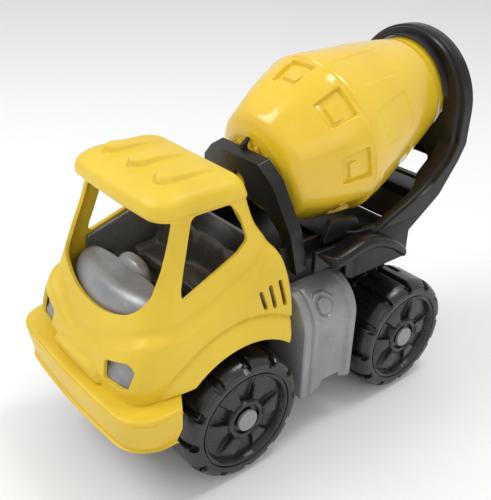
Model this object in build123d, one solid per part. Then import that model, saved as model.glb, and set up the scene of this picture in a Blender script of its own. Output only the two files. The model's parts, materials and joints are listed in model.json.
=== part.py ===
from build123d import *
import os
from math import cos, radians, sin

os.makedirs("parts", exist_ok=True)

# Toy concrete mixer lorry, in millimetres.
# Frame: +Z up, ground at z = 0, nose towards -Y, the vehicle's left side is +X.
# The origin is the middle of the footprint of the whole toy.

# ---- driving dimensions ----
overall_length = 290.0      # nose of the bumper to the back of the rear hoop
overall_height = 241.5      # ground to the top of the rear hoop
wheelbase = 143.0
nose_to_front_axle = 84.0
tyre_radius = 42.0
tyre_width = 38.0
wheels_outside = 133.0      # outer face of one wheel to the outer face of the other
bumper_width = 140.0
wall = 2.4                  # moulded wall of the shells
running_clearance = 0.08    # radial, shaft in bore
part_gap = 0.6              # between mouldings that pass each other

# ---- axles and wheels ----
axle_radius = 3.0
hub_radius = 11.0
rim_groove_radius = 32.0
cap_radius = 7.2
cap_thickness = 2.6
cap_proud = 0.8             # how far an axle cap stands out of the wheel face
tread_blocks = 12
tread_depth = 4.0
tread_gap = 3.6
spoke_count = 6
dish_depth = 5.0

# ---- chassis tray ----
tray_half_width = 27.0
tray_bottom = 30.0
tray_top = 98.0
tray_front_y = -126.0
tray_rear_y = 100.0

# ---- cab ----
cab_ledge_z = 79.0          # top of the bumper
bumper_bottom_z = 55.0
bumper_corner = 18.0
cab_lip_z = 175.0           # lower edge of the roof
cab_roof_z = 191.0
cab_half_width = 57.0
cab_rear_y = -21.0
roof_half_width = 45.0
arch_clearance = 10.5       # wheel arch radius less the tyre radius
arch_lip_half_width = 62.5
arch_crease_radius = 66.0
vent_count = 3
vent_width = 2.6
headlight_width = 19.0
headlight_height = 10.5
headlight_inner_x = 32.0
headlight_bottom_z = 92.0
cabin_floor_z = 104.0
cowl_y = -98.0
cowl_radius = 24.0
cowl_height = 24.0

# ---- deck ----
deck_z = 112.0
deck_thickness = 6.0
deck_half_width = 50.0
deck_front_y = -16.0
deck_rear_y = 92.0
rail_height = 14.0
rail_thickness = 4.0
strut_front_y = 54.0

# ---- drum ----
drum_tilt = 13.5            # axis rises towards the rear
drum_pivot_y = -13.8
drum_pivot_z = 166.0
drum_radius = 53.5
drum_seam_s = 61.5          # distance along the axis from the pivot to the widest section
drum_front_s = 8.0
drum_front_radius = 27.0
drum_mouth_s = 144.0
drum_mouth_radius = 33.5
drum_rim_length = 9.0
pin_radius = 4.5
ratchet_teeth = 16
ratchet_radius = 22.0
vane_count = 3

# ---- stand and hoop ----
stand_front_s = -5.0
stand_thickness = 9.0
hoop_thickness = 13.0
hoop_half_width = 50.5
hoop_opening_half = drum_mouth_radius + 1.0
hoop_gap_bottom_z = 138.0   # lower edge of the gap under the mouth
hoop_gap_top_z = 157.0
hoop_gap_half = 28.5
hoop_bearing_clearance = 0.4

# ---- side tanks ----
tank_inner_x = 30.0
tank_outer_x = 62.0
tank_bottom_z = 33.0
tank_top_z = 104.5
tank_shoulder = 24.0
tank_behind_front_axle = 46.0
tank_ahead_of_rear_axle = 51.0
tank_rib = 1.8

# ---- fasteners ----
screw_radius = 1.5
screw_head_radius = 3.2
screw_head_height = 2.2
screw_length = 10.0
screw_half_spacing = 14.0
cab_screw_rows = (-76.0, -46.0)
deck_screw_rows = (8.0, 60.0)

# ---- places worked out from the dimensions ----
nose_y = -overall_length / 2
tail_y = overall_length / 2
front_axle_y = nose_y + nose_to_front_axle
rear_axle_y = front_axle_y + wheelbase
axle_z = tyre_radius
tank_front_y = front_axle_y + tank_behind_front_axle
tank_rear_y = rear_axle_y - tank_ahead_of_rear_axle
wheel_outer_x = wheels_outside / 2
arch_radius = tyre_radius + arch_clearance
deck_top_z = deck_z + deck_thickness
drum_end_s = drum_mouth_s + drum_rim_length

drum_plane = Plane(
    origin=(0, drum_pivot_y, drum_pivot_z),
    x_dir=(1, 0, 0),
    z_dir=(0, cos(radians(drum_tilt)), sin(radians(drum_tilt))),
)


def save(shape, name):
    """Write one node, and print its size so that a slip shows at once."""
    shape.label = name
    box = shape.bounding_box()
    export_step(shape, f"parts/{name}.step")
    print(name, len(shape.solids()), [round(v, 1) for v in (*box.min, *box.max)])


def block(x0, x1, y0, y1, z0, z1):
    """A plain block between two corners."""
    centre = ((x0 + x1) / 2, (y0 + y1) / 2, (z0 + z1) / 2)
    return Pos(*centre) * Box(x1 - x0, y1 - y0, z1 - z0)


def side_plate(points, x0, x1):
    """An outline given as (y, z) points, as thick as the gap from x0 to x1."""
    face = make_face(Polyline(*[(x0, y, z) for y, z in points], close=True))
    return extrude(face, amount=x1 - x0, dir=(1, 0, 0))


def front_plate(points, y0, y1):
    """An outline given as (x, z) points, as thick as the gap from y0 to y1."""
    face = make_face(Polyline(*[(x, y0, z) for x, z in points], close=True))
    return extrude(face, amount=y1 - y0, dir=(0, 1, 0))


def lateral_cylinder(radius, x0, x1, y, z):
    """A cylinder lying across the vehicle."""
    return Pos((x0 + x1) / 2, y, z) * Rot(0, 90, 0) * Cylinder(radius, x1 - x0)


def on_drum_axis(radius, s0, s1):
    """A cylinder on the drum's axis, from s0 to s1 behind the pivot."""
    return drum_plane * Pos(0, 0, (s0 + s1) / 2) * Cylinder(radius, s1 - s0)


# ---- wheels ----
def wheel_at_origin():
    """One wheel about the X axis, outer face at x = 0 and the wheel towards -X."""
    profile = [
        (0, 0), (0, -2.0), (12.0, -2.0), (13.0, 0), (18.0, -1.0), (18.0, -dish_depth),
        (29.0, -dish_depth), (30.0, 0), (38.0, 0), (tyre_radius, -3.5),
        (tyre_radius, -tyre_width + 3.5), (38.0, -tyre_width), (34.0, -tyre_width),
        (33.0, -dish_depth - wall - 2), (hub_radius, -dish_depth - wall - 2),
        (hub_radius, -tyre_width), (0, -tyre_width),
    ]
    body = revolve(make_face(Polyline(*[(x, r, 0) for r, x in profile], close=True)), Axis.X)
    for index in range(spoke_count):
        angle = 360 / spoke_count * index
        spoke = Pos(-(dish_depth + 1.0) / 2 - 0.5, 0, 24.5) * Box(dish_depth + 1.0, 9.0, 14.0)
        body += Rot(angle, 0, 0) * spoke
    notch_height = tyre_radius - tread_depth
    for index in range(tread_blocks):
        angle = 360 / tread_blocks * index
        bar = Box(tyre_width + 2, tread_gap, 2 * tread_depth)
        bar = Pos(-tyre_width / 2, 0, notch_height + tread_depth) * bar
        body -= Rot(angle, 0, 0) * bar
    groove_outer = Rot(0, 90, 0) * Cylinder(rim_groove_radius + 0.6, 2.4)
    groove_inner = Rot(0, 90, 0) * Cylinder(rim_groove_radius - 0.6, 3.0)
    body -= groove_outer - groove_inner
    bore = Cylinder(axle_radius + running_clearance, tyre_width + 4)
    body -= Pos(-tyre_width / 2, 0, 0) * Rot(0, 90, 0) * bore
    cap_seat = cap_thickness - cap_proud + 0.4
    body -= Pos(-cap_seat / 2 + 0.5, 0, 0) * Rot(0, 90, 0) * Cylinder(cap_radius + 0.5, cap_seat + 1.0)
    return body


def make_wheels():
    left = wheel_at_origin()
    right = Rot(0, 0, 180) * wheel_at_origin()
    for end, y in (("front", front_axle_y), ("rear", rear_axle_y)):
        save(Pos(wheel_outer_x, y, axle_z) * left, f"wheel_{end}_left")
        save(Pos(-wheel_outer_x, y, axle_z) * right, f"wheel_{end}_right")


def make_axles():
    cap_inner = cap_proud - cap_thickness
    caps = []
    for end, y in (("front", front_axle_y), ("rear", rear_axle_y)):
        half_length = wheel_outer_x + cap_inner
        save(lateral_cylinder(axle_radius, -half_length, half_length, y, axle_z), f"{end}_axle")
        for side in (-1, 1):
            disc = lateral_cylinder(cap_radius, half_length, wheel_outer_x + cap_proud, y, axle_z)
            disc = fillet(disc.edges().sort_by(Axis.X)[-1], 0.6)
            caps.append(disc if side > 0 else mirror(disc, Plane.YZ))
    save(Compound(children=caps), "axle_caps")


# ---- chassis tray ----
def screw_places(rows):
    """Places of the screws that come up through the tray, a pair at each row."""
    return [(x, y) for x in (-screw_half_spacing, screw_half_spacing) for y in rows]


def make_chassis_tray():
    tray = block(-tray_half_width, tray_half_width, tray_front_y, tray_rear_y, tray_bottom, tray_top)
    tray -= block(
        -tray_half_width + wall, tray_half_width - wall,
        tray_front_y + wall, tray_rear_y - wall,
        tray_bottom - 1, tray_top - wall,
    )
    for y in (front_axle_y, rear_axle_y):
        for side in (-1, 1):
            x_wall = side * (tray_half_width - wall)
            x0, x1 = sorted((x_wall, x_wall - side * 5))
            boss = lateral_cylinder(axle_radius + 4, x0, x1, y, axle_z)
            tray += boss
        bore_end = tray_half_width + 5
        tray -= lateral_cylinder(axle_radius + running_clearance, -bore_end, bore_end, y, axle_z)
    for x, y in screw_places(cab_screw_rows + deck_screw_rows):
        tray -= Pos(x, y, tray_top) * Cylinder(screw_radius + 0.1, 4 * wall)
    save(tray, "chassis_tray")


# ---- cab shell ----
# Each row: height, front y, rear y, half width, corner radius.
cab_rows = [
    (cab_ledge_z - 4, nose_y + 9.5, cab_rear_y, cab_half_width, 20.0),
    (96.0, nose_y + 12.0, cab_rear_y - 1, cab_half_width, 20.0),
    (118.0, nose_y + 20.0, cab_rear_y - 4, cab_half_width - 2, 19.0),
    (137.0, nose_y + 27.0, cab_rear_y - 9, cab_half_width - 5, 18.0),
    (150.0, nose_y + 32.0, cab_rear_y - 15, cab_half_width - 8, 16.0),
    (cab_lip_z, nose_y + 42.0, cab_rear_y - 25, roof_half_width, 14.0),
    (cab_lip_z + 8, nose_y + 42.0, cab_rear_y - 27, roof_half_width - 1, 14.0),
    (cab_roof_z, nose_y + 55.0, cab_rear_y - 36, roof_half_width - 13, 10.0),
]


def cab_section(row, inset):
    """One level section of the cab, rounded at its corners and drawn in by inset."""
    z, front_y, rear_y, half_width, corner = row
    width = 2 * (half_width - inset)
    depth = rear_y - front_y - 2 * inset
    return Pos(0, (front_y + rear_y) / 2, z) * RectangleRounded(width, depth, corner - inset / 2)


def cab_solid(inset, z_shift):
    """The cab's form as a stack of ruled sections."""
    sections = [cab_section(row, inset) for row in cab_rows]
    return loft([Pos(0, 0, z_shift) * section for section in sections], ruled=True)


def bumper_outline(inset, z):
    """Plan of the bumper: a bowed front, round corners, and straight sides to the wheel arch."""
    half = bumper_width / 2 - inset
    front = nose_y + inset
    bow = 6.0
    side_y = front + bow + bumper_corner
    rear = front_axle_y - 30.0
    with_corner = [
        ThreePointArc(
            (-half + bumper_corner, front + bow, z), (0, front, z), (half - bumper_corner, front + bow, z)
        ),
        ThreePointArc(
            (half - bumper_corner, front + bow, z),
            (half - bumper_corner * (1 - sin(radians(45))), side_y - bumper_corner * cos(radians(45)), z),
            (half, side_y, z),
        ),
        Line((half, side_y, z), (half, rear, z)),
        Line((half, rear, z), (-half, rear, z)),
        Line((-half, rear, z), (-half, side_y, z)),
        ThreePointArc(
            (-half, side_y, z),
            (-half + bumper_corner * (1 - sin(radians(45))), side_y - bumper_corner * cos(radians(45)), z),
            (-half + bumper_corner, front + bow, z),
        ),
    ]
    return make_face(Wire(with_corner))


def make_cab_shell():
    cab = cab_solid(0, 0)
    bumper_height = cab_ledge_z - bumper_bottom_z
    cab += extrude(bumper_outline(0, bumper_bottom_z), amount=bumper_height, dir=(0, 0, 1))
    # Wheel arch flare, a short cone that stands out of the cab side.
    for side in (-1, 1):
        flare = Plane(origin=(side * 50.0, front_axle_y, axle_z), z_dir=(side, 0, 0))
        flare = flare * Circle(arch_crease_radius)
        cab += extrude(flare, amount=arch_lip_half_width - 50.0, taper=40)
    cab -= block(-80, 80, nose_y - 5, 60, -40, bumper_bottom_z)
    cab -= block(-80, 80, front_axle_y - 30, 60, -40, cab_ledge_z - 3)
    cab -= block(-80, 80, cab_rear_y, 60, -40, cab_roof_z)
    # Hollow: cabin, bumper and the wheel houses.
    cab -= cab_solid(wall, -wall)
    inside = cab_half_width - wall - 1
    cab -= block(-inside, inside, nose_y + 14, -24.0, 40, cab_ledge_z - 2)
    cab -= extrude(bumper_outline(wall, bumper_bottom_z - 1), amount=bumper_height - wall + 1, dir=(0, 0, 1))
    cab -= block(
        -tray_half_width - part_gap, tray_half_width + part_gap,
        cab_rear_y - 12, cab_rear_y + 5, 0, tray_top + part_gap,
    )
    cab -= lateral_cylinder(arch_radius, -90, 90, front_axle_y, axle_z)
    # Windscreen, a deep U that reaches the roof.
    screen_half = roof_half_width - 3.5
    screen = front_plate(
        [(-screen_half, cab_lip_z - 2), (-screen_half - 2, 146), (-screen_half + 3, 130),
         (-26, 119), (-10, 117),
         (10, 117), (26, 119), (screen_half - 3, 130), (screen_half + 2, 146), (screen_half, cab_lip_z - 2)],
        nose_y - 5, nose_y + 58,
    )
    cab -= screen
    # Side windows.
    for side in (-1, 1):
        x0, x1 = (38.0, 70.0) if side > 0 else (-70.0, -38.0)
        cab -= side_plate(
            [(-97, 134), (-97, 142), (-92, 167), (-88, 173), (-68, 174), (-60, 170), (-53, 152), (-57, 145)],
            x0, x1,
        )
        vent_x0, vent_x1 = (48.0, 66.0) if side > 0 else (-66.0, -48.0)
        for index in range(vent_count):
            y = -45.0 + 6.8 * index
            rise = 1.5 * index
            cab -= side_plate(
                [(y, 108 - rise), (y + vent_width, 108 - rise),
                 (y + vent_width - 1, 120 + rise), (y - 1, 120 + rise)],
                vent_x0, vent_x1,
            )
    # Rear window and the headlight openings.
    cab -= front_plate([(-34, 128), (34, 128), (31, 168), (-31, 168)], -60, -15)
    for side in (-1, 1):
        x0 = headlight_inner_x if side > 0 else -headlight_inner_x - headlight_width
        cab -= block(
            x0, x0 + headlight_width, nose_y, nose_y + 30,
            headlight_bottom_z, headlight_bottom_z + headlight_height,
        )
    save(cab, "cab_shell")


def make_cab_insert():
    """Grey cabin moulding: floor, dashboard and its half-round cowl."""
    half = cab_half_width - wall - 5.5
    insert = block(-half, half, -110, cab_rear_y - 12, cabin_floor_z, cabin_floor_z + wall)
    cowl = Cylinder(cowl_radius, cowl_height, align=(Align.CENTER, Align.CENTER, Align.MIN))
    cowl = Pos(0, cowl_y, cabin_floor_z) * cowl
    cowl = fillet(cowl.edges().sort_by(Axis.Z)[-1], 11.0)
    insert += cowl & block(-40, 40, nose_y + 25, cowl_y + 10, 90, 160)
    insert += block(-half + 6, half - 6, cowl_y + 6, cowl_y + 12, cabin_floor_z, cabin_floor_z + 18)
    insert -= Pos(0, cowl_y, cabin_floor_z - 1) * Cylinder(
        cowl_radius - 3, cowl_height - 4, align=(Align.CENTER, Align.CENTER, Align.MIN)
    )
    for x, y in screw_places(cab_screw_rows):
        boss_height = cabin_floor_z - tray_top
        insert += Pos(x, y, tray_top + boss_height / 2) * Cylinder(screw_radius + 2, boss_height)
        insert -= Pos(x, y, tray_top) * Cylinder(screw_radius, 2 * screw_length)
    save(insert, "cab_insert")


def make_seat_bench():
    floor_z = cabin_floor_z + wall
    seat = block(-38, 38, -74, -52, floor_z, floor_z + 14)
    seat += side_plate([(-56, floor_z), (-50, floor_z), (-46, floor_z + 36), (-51, floor_z + 36)], -38, 38)
    for index in range(7):
        x = -30 + 10 * index
        seat -= block(x - 0.8, x + 0.8, -76, -55.2, floor_z + 12.8, floor_z + 40)
    save(seat, "seat_bench")


def make_headlights():
    for side, name in ((1, "headlight_left"), (-1, "headlight_right")):
        clear = 0.4
        x0 = headlight_inner_x + clear
        lamp = block(
            x0, x0 + headlight_width - 2 * clear, nose_y + 16.5, nose_y + 26,
            headlight_bottom_z + clear, headlight_bottom_z + headlight_height - clear,
        )
        lamp = fillet(lamp.edges().filter_by(Axis.Y), 1.5)
        save(lamp if side > 0 else mirror(lamp, Plane.YZ), name)


# ---- deck, stand and hoop ----
def make_deck():
    deck = block(-deck_half_width, deck_half_width, deck_front_y, deck_rear_y, deck_z, deck_top_z)
    for side in (-1, 1):
        x0, x1 = sorted((side * deck_half_width, side * (deck_half_width - rail_thickness)))
        rail = side_plate(
            [(deck_front_y, deck_top_z), (deck_front_y, deck_top_z + rail_height),
             (strut_front_y, deck_top_z + rail_height), (strut_front_y, deck_top_z)],
            x0, x1,
        )
        deck += rail
    deck -= block(-20, 20, 30, 36, deck_z - 5, deck_top_z + 5)
    foot = tray_half_width - 6
    deck += block(-foot, foot, deck_front_y + 4, deck_rear_y - 25, tray_top, deck_z)
    for x, y in screw_places(deck_screw_rows):
        deck -= Pos(x, y, tray_top) * Cylinder(screw_radius, 2 * screw_length)
    save(deck, "deck_frame")


def make_front_stand():
    """Inverted U across the deck that carries the drum's front pin."""
    foot = deck_half_width - rail_thickness - 0.2
    outline = [
        (-foot, -54), (-foot + 2, -24), (-34, 8), (-22, 18.5),
        (22, 18.5), (34, 8), (foot - 2, -24), (foot, -54),
        (foot - 10, -54), (foot - 13, -26), (20, -12), (-20, -12), (-foot + 13, -26), (-foot + 10, -54),
    ]
    face = make_face(Polyline(*[(x, y, 0) for x, y in outline], close=True))
    bar = extrude(Pos(0, 0, stand_front_s) * face, amount=stand_thickness)
    bar = drum_plane * Rot(0, 0, 180) * bar
    bar -= block(-80, 80, -60, 60, 0, deck_top_z)
    bar -= on_drum_axis(pin_radius + running_clearance, -10, 30)
    save(bar, "front_stand")


def make_rear_hoop():
    """Arched band round the drum's mouth, whose two legs run forward and down to the deck."""
    front_y = tail_y - hoop_thickness - 3.0
    rear_y = front_y + hoop_thickness
    arch_z = overall_height - hoop_half_width
    leg = [
        (front_y, arch_z), (rear_y, arch_z), (rear_y, 169), (rear_y - 22, 137), (deck_rear_y, deck_top_z),
        (strut_front_y + 0.2, deck_top_z), (strut_front_y + 0.2, 126), (front_y - 22, 146), (front_y, 166),
    ]
    hoop = side_plate(leg, -hoop_half_width, hoop_half_width)
    arch = Rot(90, 0, 0) * Cylinder(hoop_half_width, hoop_thickness)
    arch = Pos(0, front_y + hoop_thickness / 2, arch_z) * arch
    hoop += arch & block(-80, 80, front_y - 1, rear_y + 1, arch_z, overall_height + 5)
    # The band is open in front of its back plate, and the plate has a gap under the drum's mouth.
    hoop -= block(-hoop_opening_half, hoop_opening_half, 0, front_y, hoop_gap_bottom_z, arch_z + 12)
    hoop -= block(-hoop_gap_half, hoop_gap_half, front_y - 1, rear_y + 5, hoop_gap_bottom_z, hoop_gap_top_z)
    hoop -= block(-hoop_opening_half - 5, hoop_opening_half + 5, 0, front_y - 22, 0, arch_z)
    hoop -= on_drum_axis(drum_mouth_radius + hoop_bearing_clearance, 100, 200)
    hoop -= drum_room(1.0)
    save(hoop, "rear_hoop")


def make_mudguards():
    """S-curved guard over each rear wheel, hung on the deck's edge."""
    upper = [(6, 126), (20, 126.5), (34, 131), (47, 131.5), (64, 123.5), (80, 109)]
    lower = [(y, z - wall) for y, z in reversed(upper)]
    for side, name in ((1, "mudguard_left"), (-1, "mudguard_right")):
        x0, x1 = sorted((side * hoop_half_width, side * (wheel_outer_x - 4)))
        guard = side_plate(upper + lower, x0, x1)
        save(guard, name)


def make_side_tanks():
    """Side box between the wheels: a section with a big round shoulder, carried along the vehicle."""
    top_z = min(tank_top_z, deck_z - 0.4)
    face = make_face(Polyline(
        (tank_inner_x, tank_front_y, tank_bottom_z), (tank_outer_x, tank_front_y, tank_bottom_z),
        (tank_outer_x, tank_front_y, top_z), (tank_inner_x, tank_front_y, top_z), close=True,
    ))
    length = tank_rear_y - tank_front_y
    tank = extrude(face, amount=length, dir=(0, 1, 0))
    shoulder = tank.edges().filter_by(Axis.Y).group_by(Axis.Z)[-1].sort_by(Axis.X)[-1]
    tank = fillet(shoulder, tank_shoulder)
    hollow = block(
        tank_inner_x - 1, tank_outer_x - wall, tank_front_y + wall, tank_rear_y - wall,
        tank_bottom_z + wall, top_z - wall,
    )
    edge = hollow.edges().filter_by(Axis.Y).group_by(Axis.Z)[-1].sort_by(Axis.X)[-1]
    tank -= fillet(edge, tank_shoulder - wall)
    middle_y = tank_front_y + 12
    steps = ((tank_front_y, tank_front_y + 7), (middle_y, middle_y + 6), (tank_rear_y - 7, tank_rear_y))
    for y0, y1 in steps:
        band = block(tank_outer_x - 2, tank_outer_x + tank_rib, y0, y1, tank_bottom_z, top_z - tank_shoulder)
        tank += band
    save(tank, "side_tank_left")
    save(mirror(tank, Plane.YZ), "side_tank_right")


# ---- drum ----
drum_profile = [
    (drum_front_s, drum_front_radius), (drum_front_s + 6, 36.0), (drum_front_s + 16, 41.5), (36.0, 46.5),
    (49.0, 51.5), (drum_seam_s, drum_radius),
]
cone_profile = [
    (drum_seam_s, drum_radius), (84.0, 50.0), (112.0, 43.5), (drum_mouth_s, drum_mouth_radius),
]


def revolved_shell(profile, closed_front):
    """A thin shell round the drum's axis from (distance, radius) points of its outside."""
    outer = [(r, s) for s, r in profile]
    inner = [(r - wall, s) for s, r in profile]
    if closed_front:
        inner[0] = (inner[0][0], profile[0][0] + wall)
        loop = [(0, profile[0][0])] + outer + list(reversed(inner)) + [(0, profile[0][0] + wall)]
    else:
        loop = outer + list(reversed(inner))
    face = make_face(Polyline(*[(r, 0, s) for r, s in loop], close=True))
    return drum_plane * revolve(face, Axis.Z)


def drum_room(gap):
    """The space that the drum's cone turns in, larger than the cone by a gap."""
    room = [(0, s) for s in (cone_profile[-1][0], cone_profile[0][0])]
    room += [(r + gap, s) for s, r in cone_profile]
    return drum_plane * revolve(make_face(Polyline(*[(r, 0, s) for r, s in room], close=True)), Axis.Z)


def make_drum():
    front = revolved_shell(drum_profile, True)
    boss = on_drum_axis(pin_radius + 3, drum_front_s, drum_front_s + 14)
    front = (front + boss) - on_drum_axis(pin_radius, drum_front_s - 5, drum_front_s + 8)
    save(front, "drum_front_shell")
    rear = revolved_shell(cone_profile, False)
    save(rear, "drum_rear_shell")
    ring_outer = on_drum_axis(drum_mouth_radius, drum_mouth_s, drum_end_s)
    ring = ring_outer - on_drum_axis(drum_mouth_radius - wall - 1.5, drum_mouth_s - 1, drum_end_s + 1)
    save(ring, "drum_mouth_ring")
    pin = on_drum_axis(pin_radius, stand_front_s + 2.0, drum_front_s + 8)
    save(pin, "drum_pivot_pin")
    disc = Circle(ratchet_radius - 5) - Circle(pin_radius)
    for index in range(ratchet_teeth):
        angle = 360 / ratchet_teeth * index
        root = ratchet_radius - 6
        tooth = Polyline((-3, root, 0), (3, root, 0), (1.2, ratchet_radius, 0), close=True)
        tooth = make_face(tooth)
        disc += Rot(0, 0, angle) * tooth
    ratchet_s = stand_front_s + stand_thickness + part_gap
    ratchet = drum_plane * Pos(0, 0, ratchet_s) * extrude(disc, amount=drum_front_s - ratchet_s)
    save(ratchet, "drum_ratchet_ring")
    vanes = []
    for index in range(vane_count):
        blade = Pos(drum_mouth_radius - 8, 0, 108) * Rot(22, 0, 0) * Box(10, wall, 60)
        vanes.append(drum_plane * Rot(0, 0, 360 / vane_count * index) * blade)
    save(Compound(children=vanes), "mixing_vanes")


def make_click_spring():
    """Thin tongue on the stand, its tip just clear of the ratchet teeth."""
    s0 = stand_front_s + stand_thickness
    tongue = Pos(0, -(ratchet_radius + 4), s0 + 2) * Box(3.0, 6.0, 4.0)
    save(drum_plane * tongue, "click_spring")


def make_screws():
    for name, rows in (("cab_screws", cab_screw_rows), ("deck_screws", deck_screw_rows)):
        screws = []
        for x, y in screw_places(rows):
            under = tray_top - wall
            head = Pos(x, y, under - screw_head_height / 2) * Cylinder(screw_head_radius, screw_head_height)
            shank = Pos(x, y, under + screw_length / 2) * Cylinder(screw_radius, screw_length)
            screws.append(head + shank)
        save(Compound(children=screws), name)


make_wheels()
make_axles()
make_chassis_tray()
make_cab_shell()
make_cab_insert()
make_seat_bench()
make_headlights()
make_deck()
make_front_stand()
make_rear_hoop()
make_mudguards()
make_side_tanks()
make_drum()
make_click_spring()
make_screws()
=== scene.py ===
import json
import math

import bmesh
import bpy
import numpy as np
from mathutils import Matrix, Vector
from mathutils.geometry import tessellate_polygon


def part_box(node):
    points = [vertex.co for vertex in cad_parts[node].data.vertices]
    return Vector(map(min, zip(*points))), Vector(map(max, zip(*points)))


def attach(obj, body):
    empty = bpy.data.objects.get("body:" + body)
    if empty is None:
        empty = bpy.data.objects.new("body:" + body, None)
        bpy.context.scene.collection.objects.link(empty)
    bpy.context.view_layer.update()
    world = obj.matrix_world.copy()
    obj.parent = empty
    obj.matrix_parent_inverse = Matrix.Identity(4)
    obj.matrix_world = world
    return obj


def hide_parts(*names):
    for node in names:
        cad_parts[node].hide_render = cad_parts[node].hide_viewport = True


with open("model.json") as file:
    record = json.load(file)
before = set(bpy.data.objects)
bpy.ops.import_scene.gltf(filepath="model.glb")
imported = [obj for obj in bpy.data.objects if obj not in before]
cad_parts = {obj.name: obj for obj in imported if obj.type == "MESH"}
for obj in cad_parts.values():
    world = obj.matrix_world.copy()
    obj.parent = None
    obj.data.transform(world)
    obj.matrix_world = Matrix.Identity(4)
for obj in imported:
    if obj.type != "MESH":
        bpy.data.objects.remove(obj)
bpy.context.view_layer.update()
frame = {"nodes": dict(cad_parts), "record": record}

mm = 0.001
nodesInFrame = frame["nodes"]
print("frame loaded")


# places read from the frame, in millimetres

def boxOf(node):
    # low and high corner of a node's box: metres over one millimetre
    low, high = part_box(node)
    return np.array(low) / mm, np.array(high) / mm


wheelLow, wheelHigh = boxOf("wheel_front_left")
rearWheelLow, rearWheelHigh = boxOf("wheel_rear_left")
cabLow, cabHigh = boxOf("cab_shell")
hoopLow, hoopHigh = boxOf("rear_hoop")
standLow, standHigh = boxOf("front_stand")
tankLow, tankHigh = boxOf("side_tank_left")
deckLow, deckHigh = boxOf("deck_frame")
drumJoint = [j for j in frame["record"]["behaviour"]["joints"] if j["name"] == "drum_spin"][0]
drumPivot = np.array(drumJoint["pos_m"]) / mm
drumAxis = np.array(drumJoint["axis"])
drumUp = np.array([0.0, -drumAxis[2], drumAxis[1]])
frontAxleY = (wheelLow[1] + wheelHigh[1]) / 2
rearAxleY = (rearWheelLow[1] + rearWheelHigh[1]) / 2
axleZ = (wheelLow[2] + wheelHigh[2]) / 2
tyreRadius = (wheelHigh[1] - wheelLow[1]) / 2
ends = [("front", frontAxleY), ("rear", rearAxleY)]
sides = [(1.0, "left"), (-1.0, "right")]


# materials

def newMaterial(name):
    # an empty node material with its shader
    mat = bpy.data.materials.new(name)
    mat.use_nodes = True
    tree = mat.node_tree
    shader = tree.nodes["Principled BSDF"]
    return mat, tree, shader


def noiseNode(tree, coords, scale, detail=4.0, roughness=0.5, stretch=(1, 1, 1)):
    # noise over the piece's own coordinates, each axis multiplied by its stretch
    mapping = tree.nodes.new("ShaderNodeMapping")
    mapping.inputs["Scale"].default_value = stretch
    tree.links.new(coords.outputs["Object"], mapping.inputs["Vector"])
    noise = tree.nodes.new("ShaderNodeTexNoise")
    noise.inputs["Scale"].default_value = scale
    noise.inputs["Detail"].default_value = detail
    noise.inputs["Roughness"].default_value = roughness
    tree.links.new(mapping.outputs["Vector"], noise.inputs["Vector"])
    return noise


def rampNode(tree, source, stops):
    # a value turned into a colour, straight between the stops
    ramp = tree.nodes.new("ShaderNodeValToRGB")
    while len(ramp.color_ramp.elements) < len(stops):
        ramp.color_ramp.elements.new(0.5)
    for element, (place, colour) in zip(ramp.color_ramp.elements, stops):
        element.position = place
        element.color = (*colour, 1.0)
    tree.links.new(source, ramp.inputs["Fac"])
    return ramp


def rangeNode(tree, source, low, high, toLow, toHigh):
    # a value moved in proportion from one range to another
    node = tree.nodes.new("ShaderNodeMapRange")
    node.inputs["From Min"].default_value = low
    node.inputs["From Max"].default_value = high
    node.inputs["To Min"].default_value = toLow
    node.inputs["To Max"].default_value = toHigh
    tree.links.new(source, node.inputs["Value"])
    return node


def plastic(name, look):
    # moulded plastic: cloudy colour, fine grain bump, flow marks and rubbed patches in the roughness
    mat, tree, shader = newMaterial(name)
    coords = tree.nodes.new("ShaderNodeTexCoord")
    cloud = noiseNode(tree, coords, look["cloudScale"], 5.0, 0.55)
    dark, mid, light = look["colours"]
    ramp = rampNode(tree, cloud.outputs["Fac"], [(0.28, dark), (0.5, mid), (0.74, light)])
    scratch = noiseNode(tree, coords, look["scratchScale"], 3.0, 0.6, look["scratchStretch"])
    rubbed = rampNode(tree, scratch.outputs["Fac"], [(0.60, (0, 0, 0)), (0.72, (1, 1, 1))])
    mix = tree.nodes.new("ShaderNodeMix")
    mix.data_type = "RGBA"
    mix.inputs["B"].default_value = (*look["rubColour"], 1.0)
    amount = rangeNode(tree, rubbed.outputs["Color"], 0, 1, 0, look["rub"])
    tree.links.new(amount.outputs["Result"], mix.inputs["Factor"])
    tree.links.new(ramp.outputs["Color"], mix.inputs["A"])
    tree.links.new(mix.outputs["Result"], shader.inputs["Base Color"])
    rough = noiseNode(tree, coords, look["cloudScale"] * 2.6, 6.0, 0.65)
    lowRough, highRough = look["roughness"]
    roughRange = rangeNode(tree, rough.outputs["Fac"], 0.3, 0.7, lowRough, highRough)
    tree.links.new(roughRange.outputs["Result"], shader.inputs["Roughness"])
    grain = noiseNode(tree, coords, look["grainScale"], 2.0, 0.5)
    wave = noiseNode(tree, coords, look["waveScale"], 2.0, 0.5)
    waveBump = tree.nodes.new("ShaderNodeBump")
    waveBump.inputs["Strength"].default_value = 1.0
    waveBump.inputs["Distance"].default_value = look["wave"] * mm
    tree.links.new(wave.outputs["Fac"], waveBump.inputs["Height"])
    grainBump = tree.nodes.new("ShaderNodeBump")
    grainBump.inputs["Strength"].default_value = 1.0
    grainBump.inputs["Distance"].default_value = look["grain"] * mm
    tree.links.new(grain.outputs["Fac"], grainBump.inputs["Height"])
    tree.links.new(waveBump.outputs["Normal"], grainBump.inputs["Normal"])
    tree.links.new(grainBump.outputs["Normal"], shader.inputs["Normal"])
    for socket, value in look.get("constants", {}).items():
        shader.inputs[socket].default_value = value
    return mat


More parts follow.
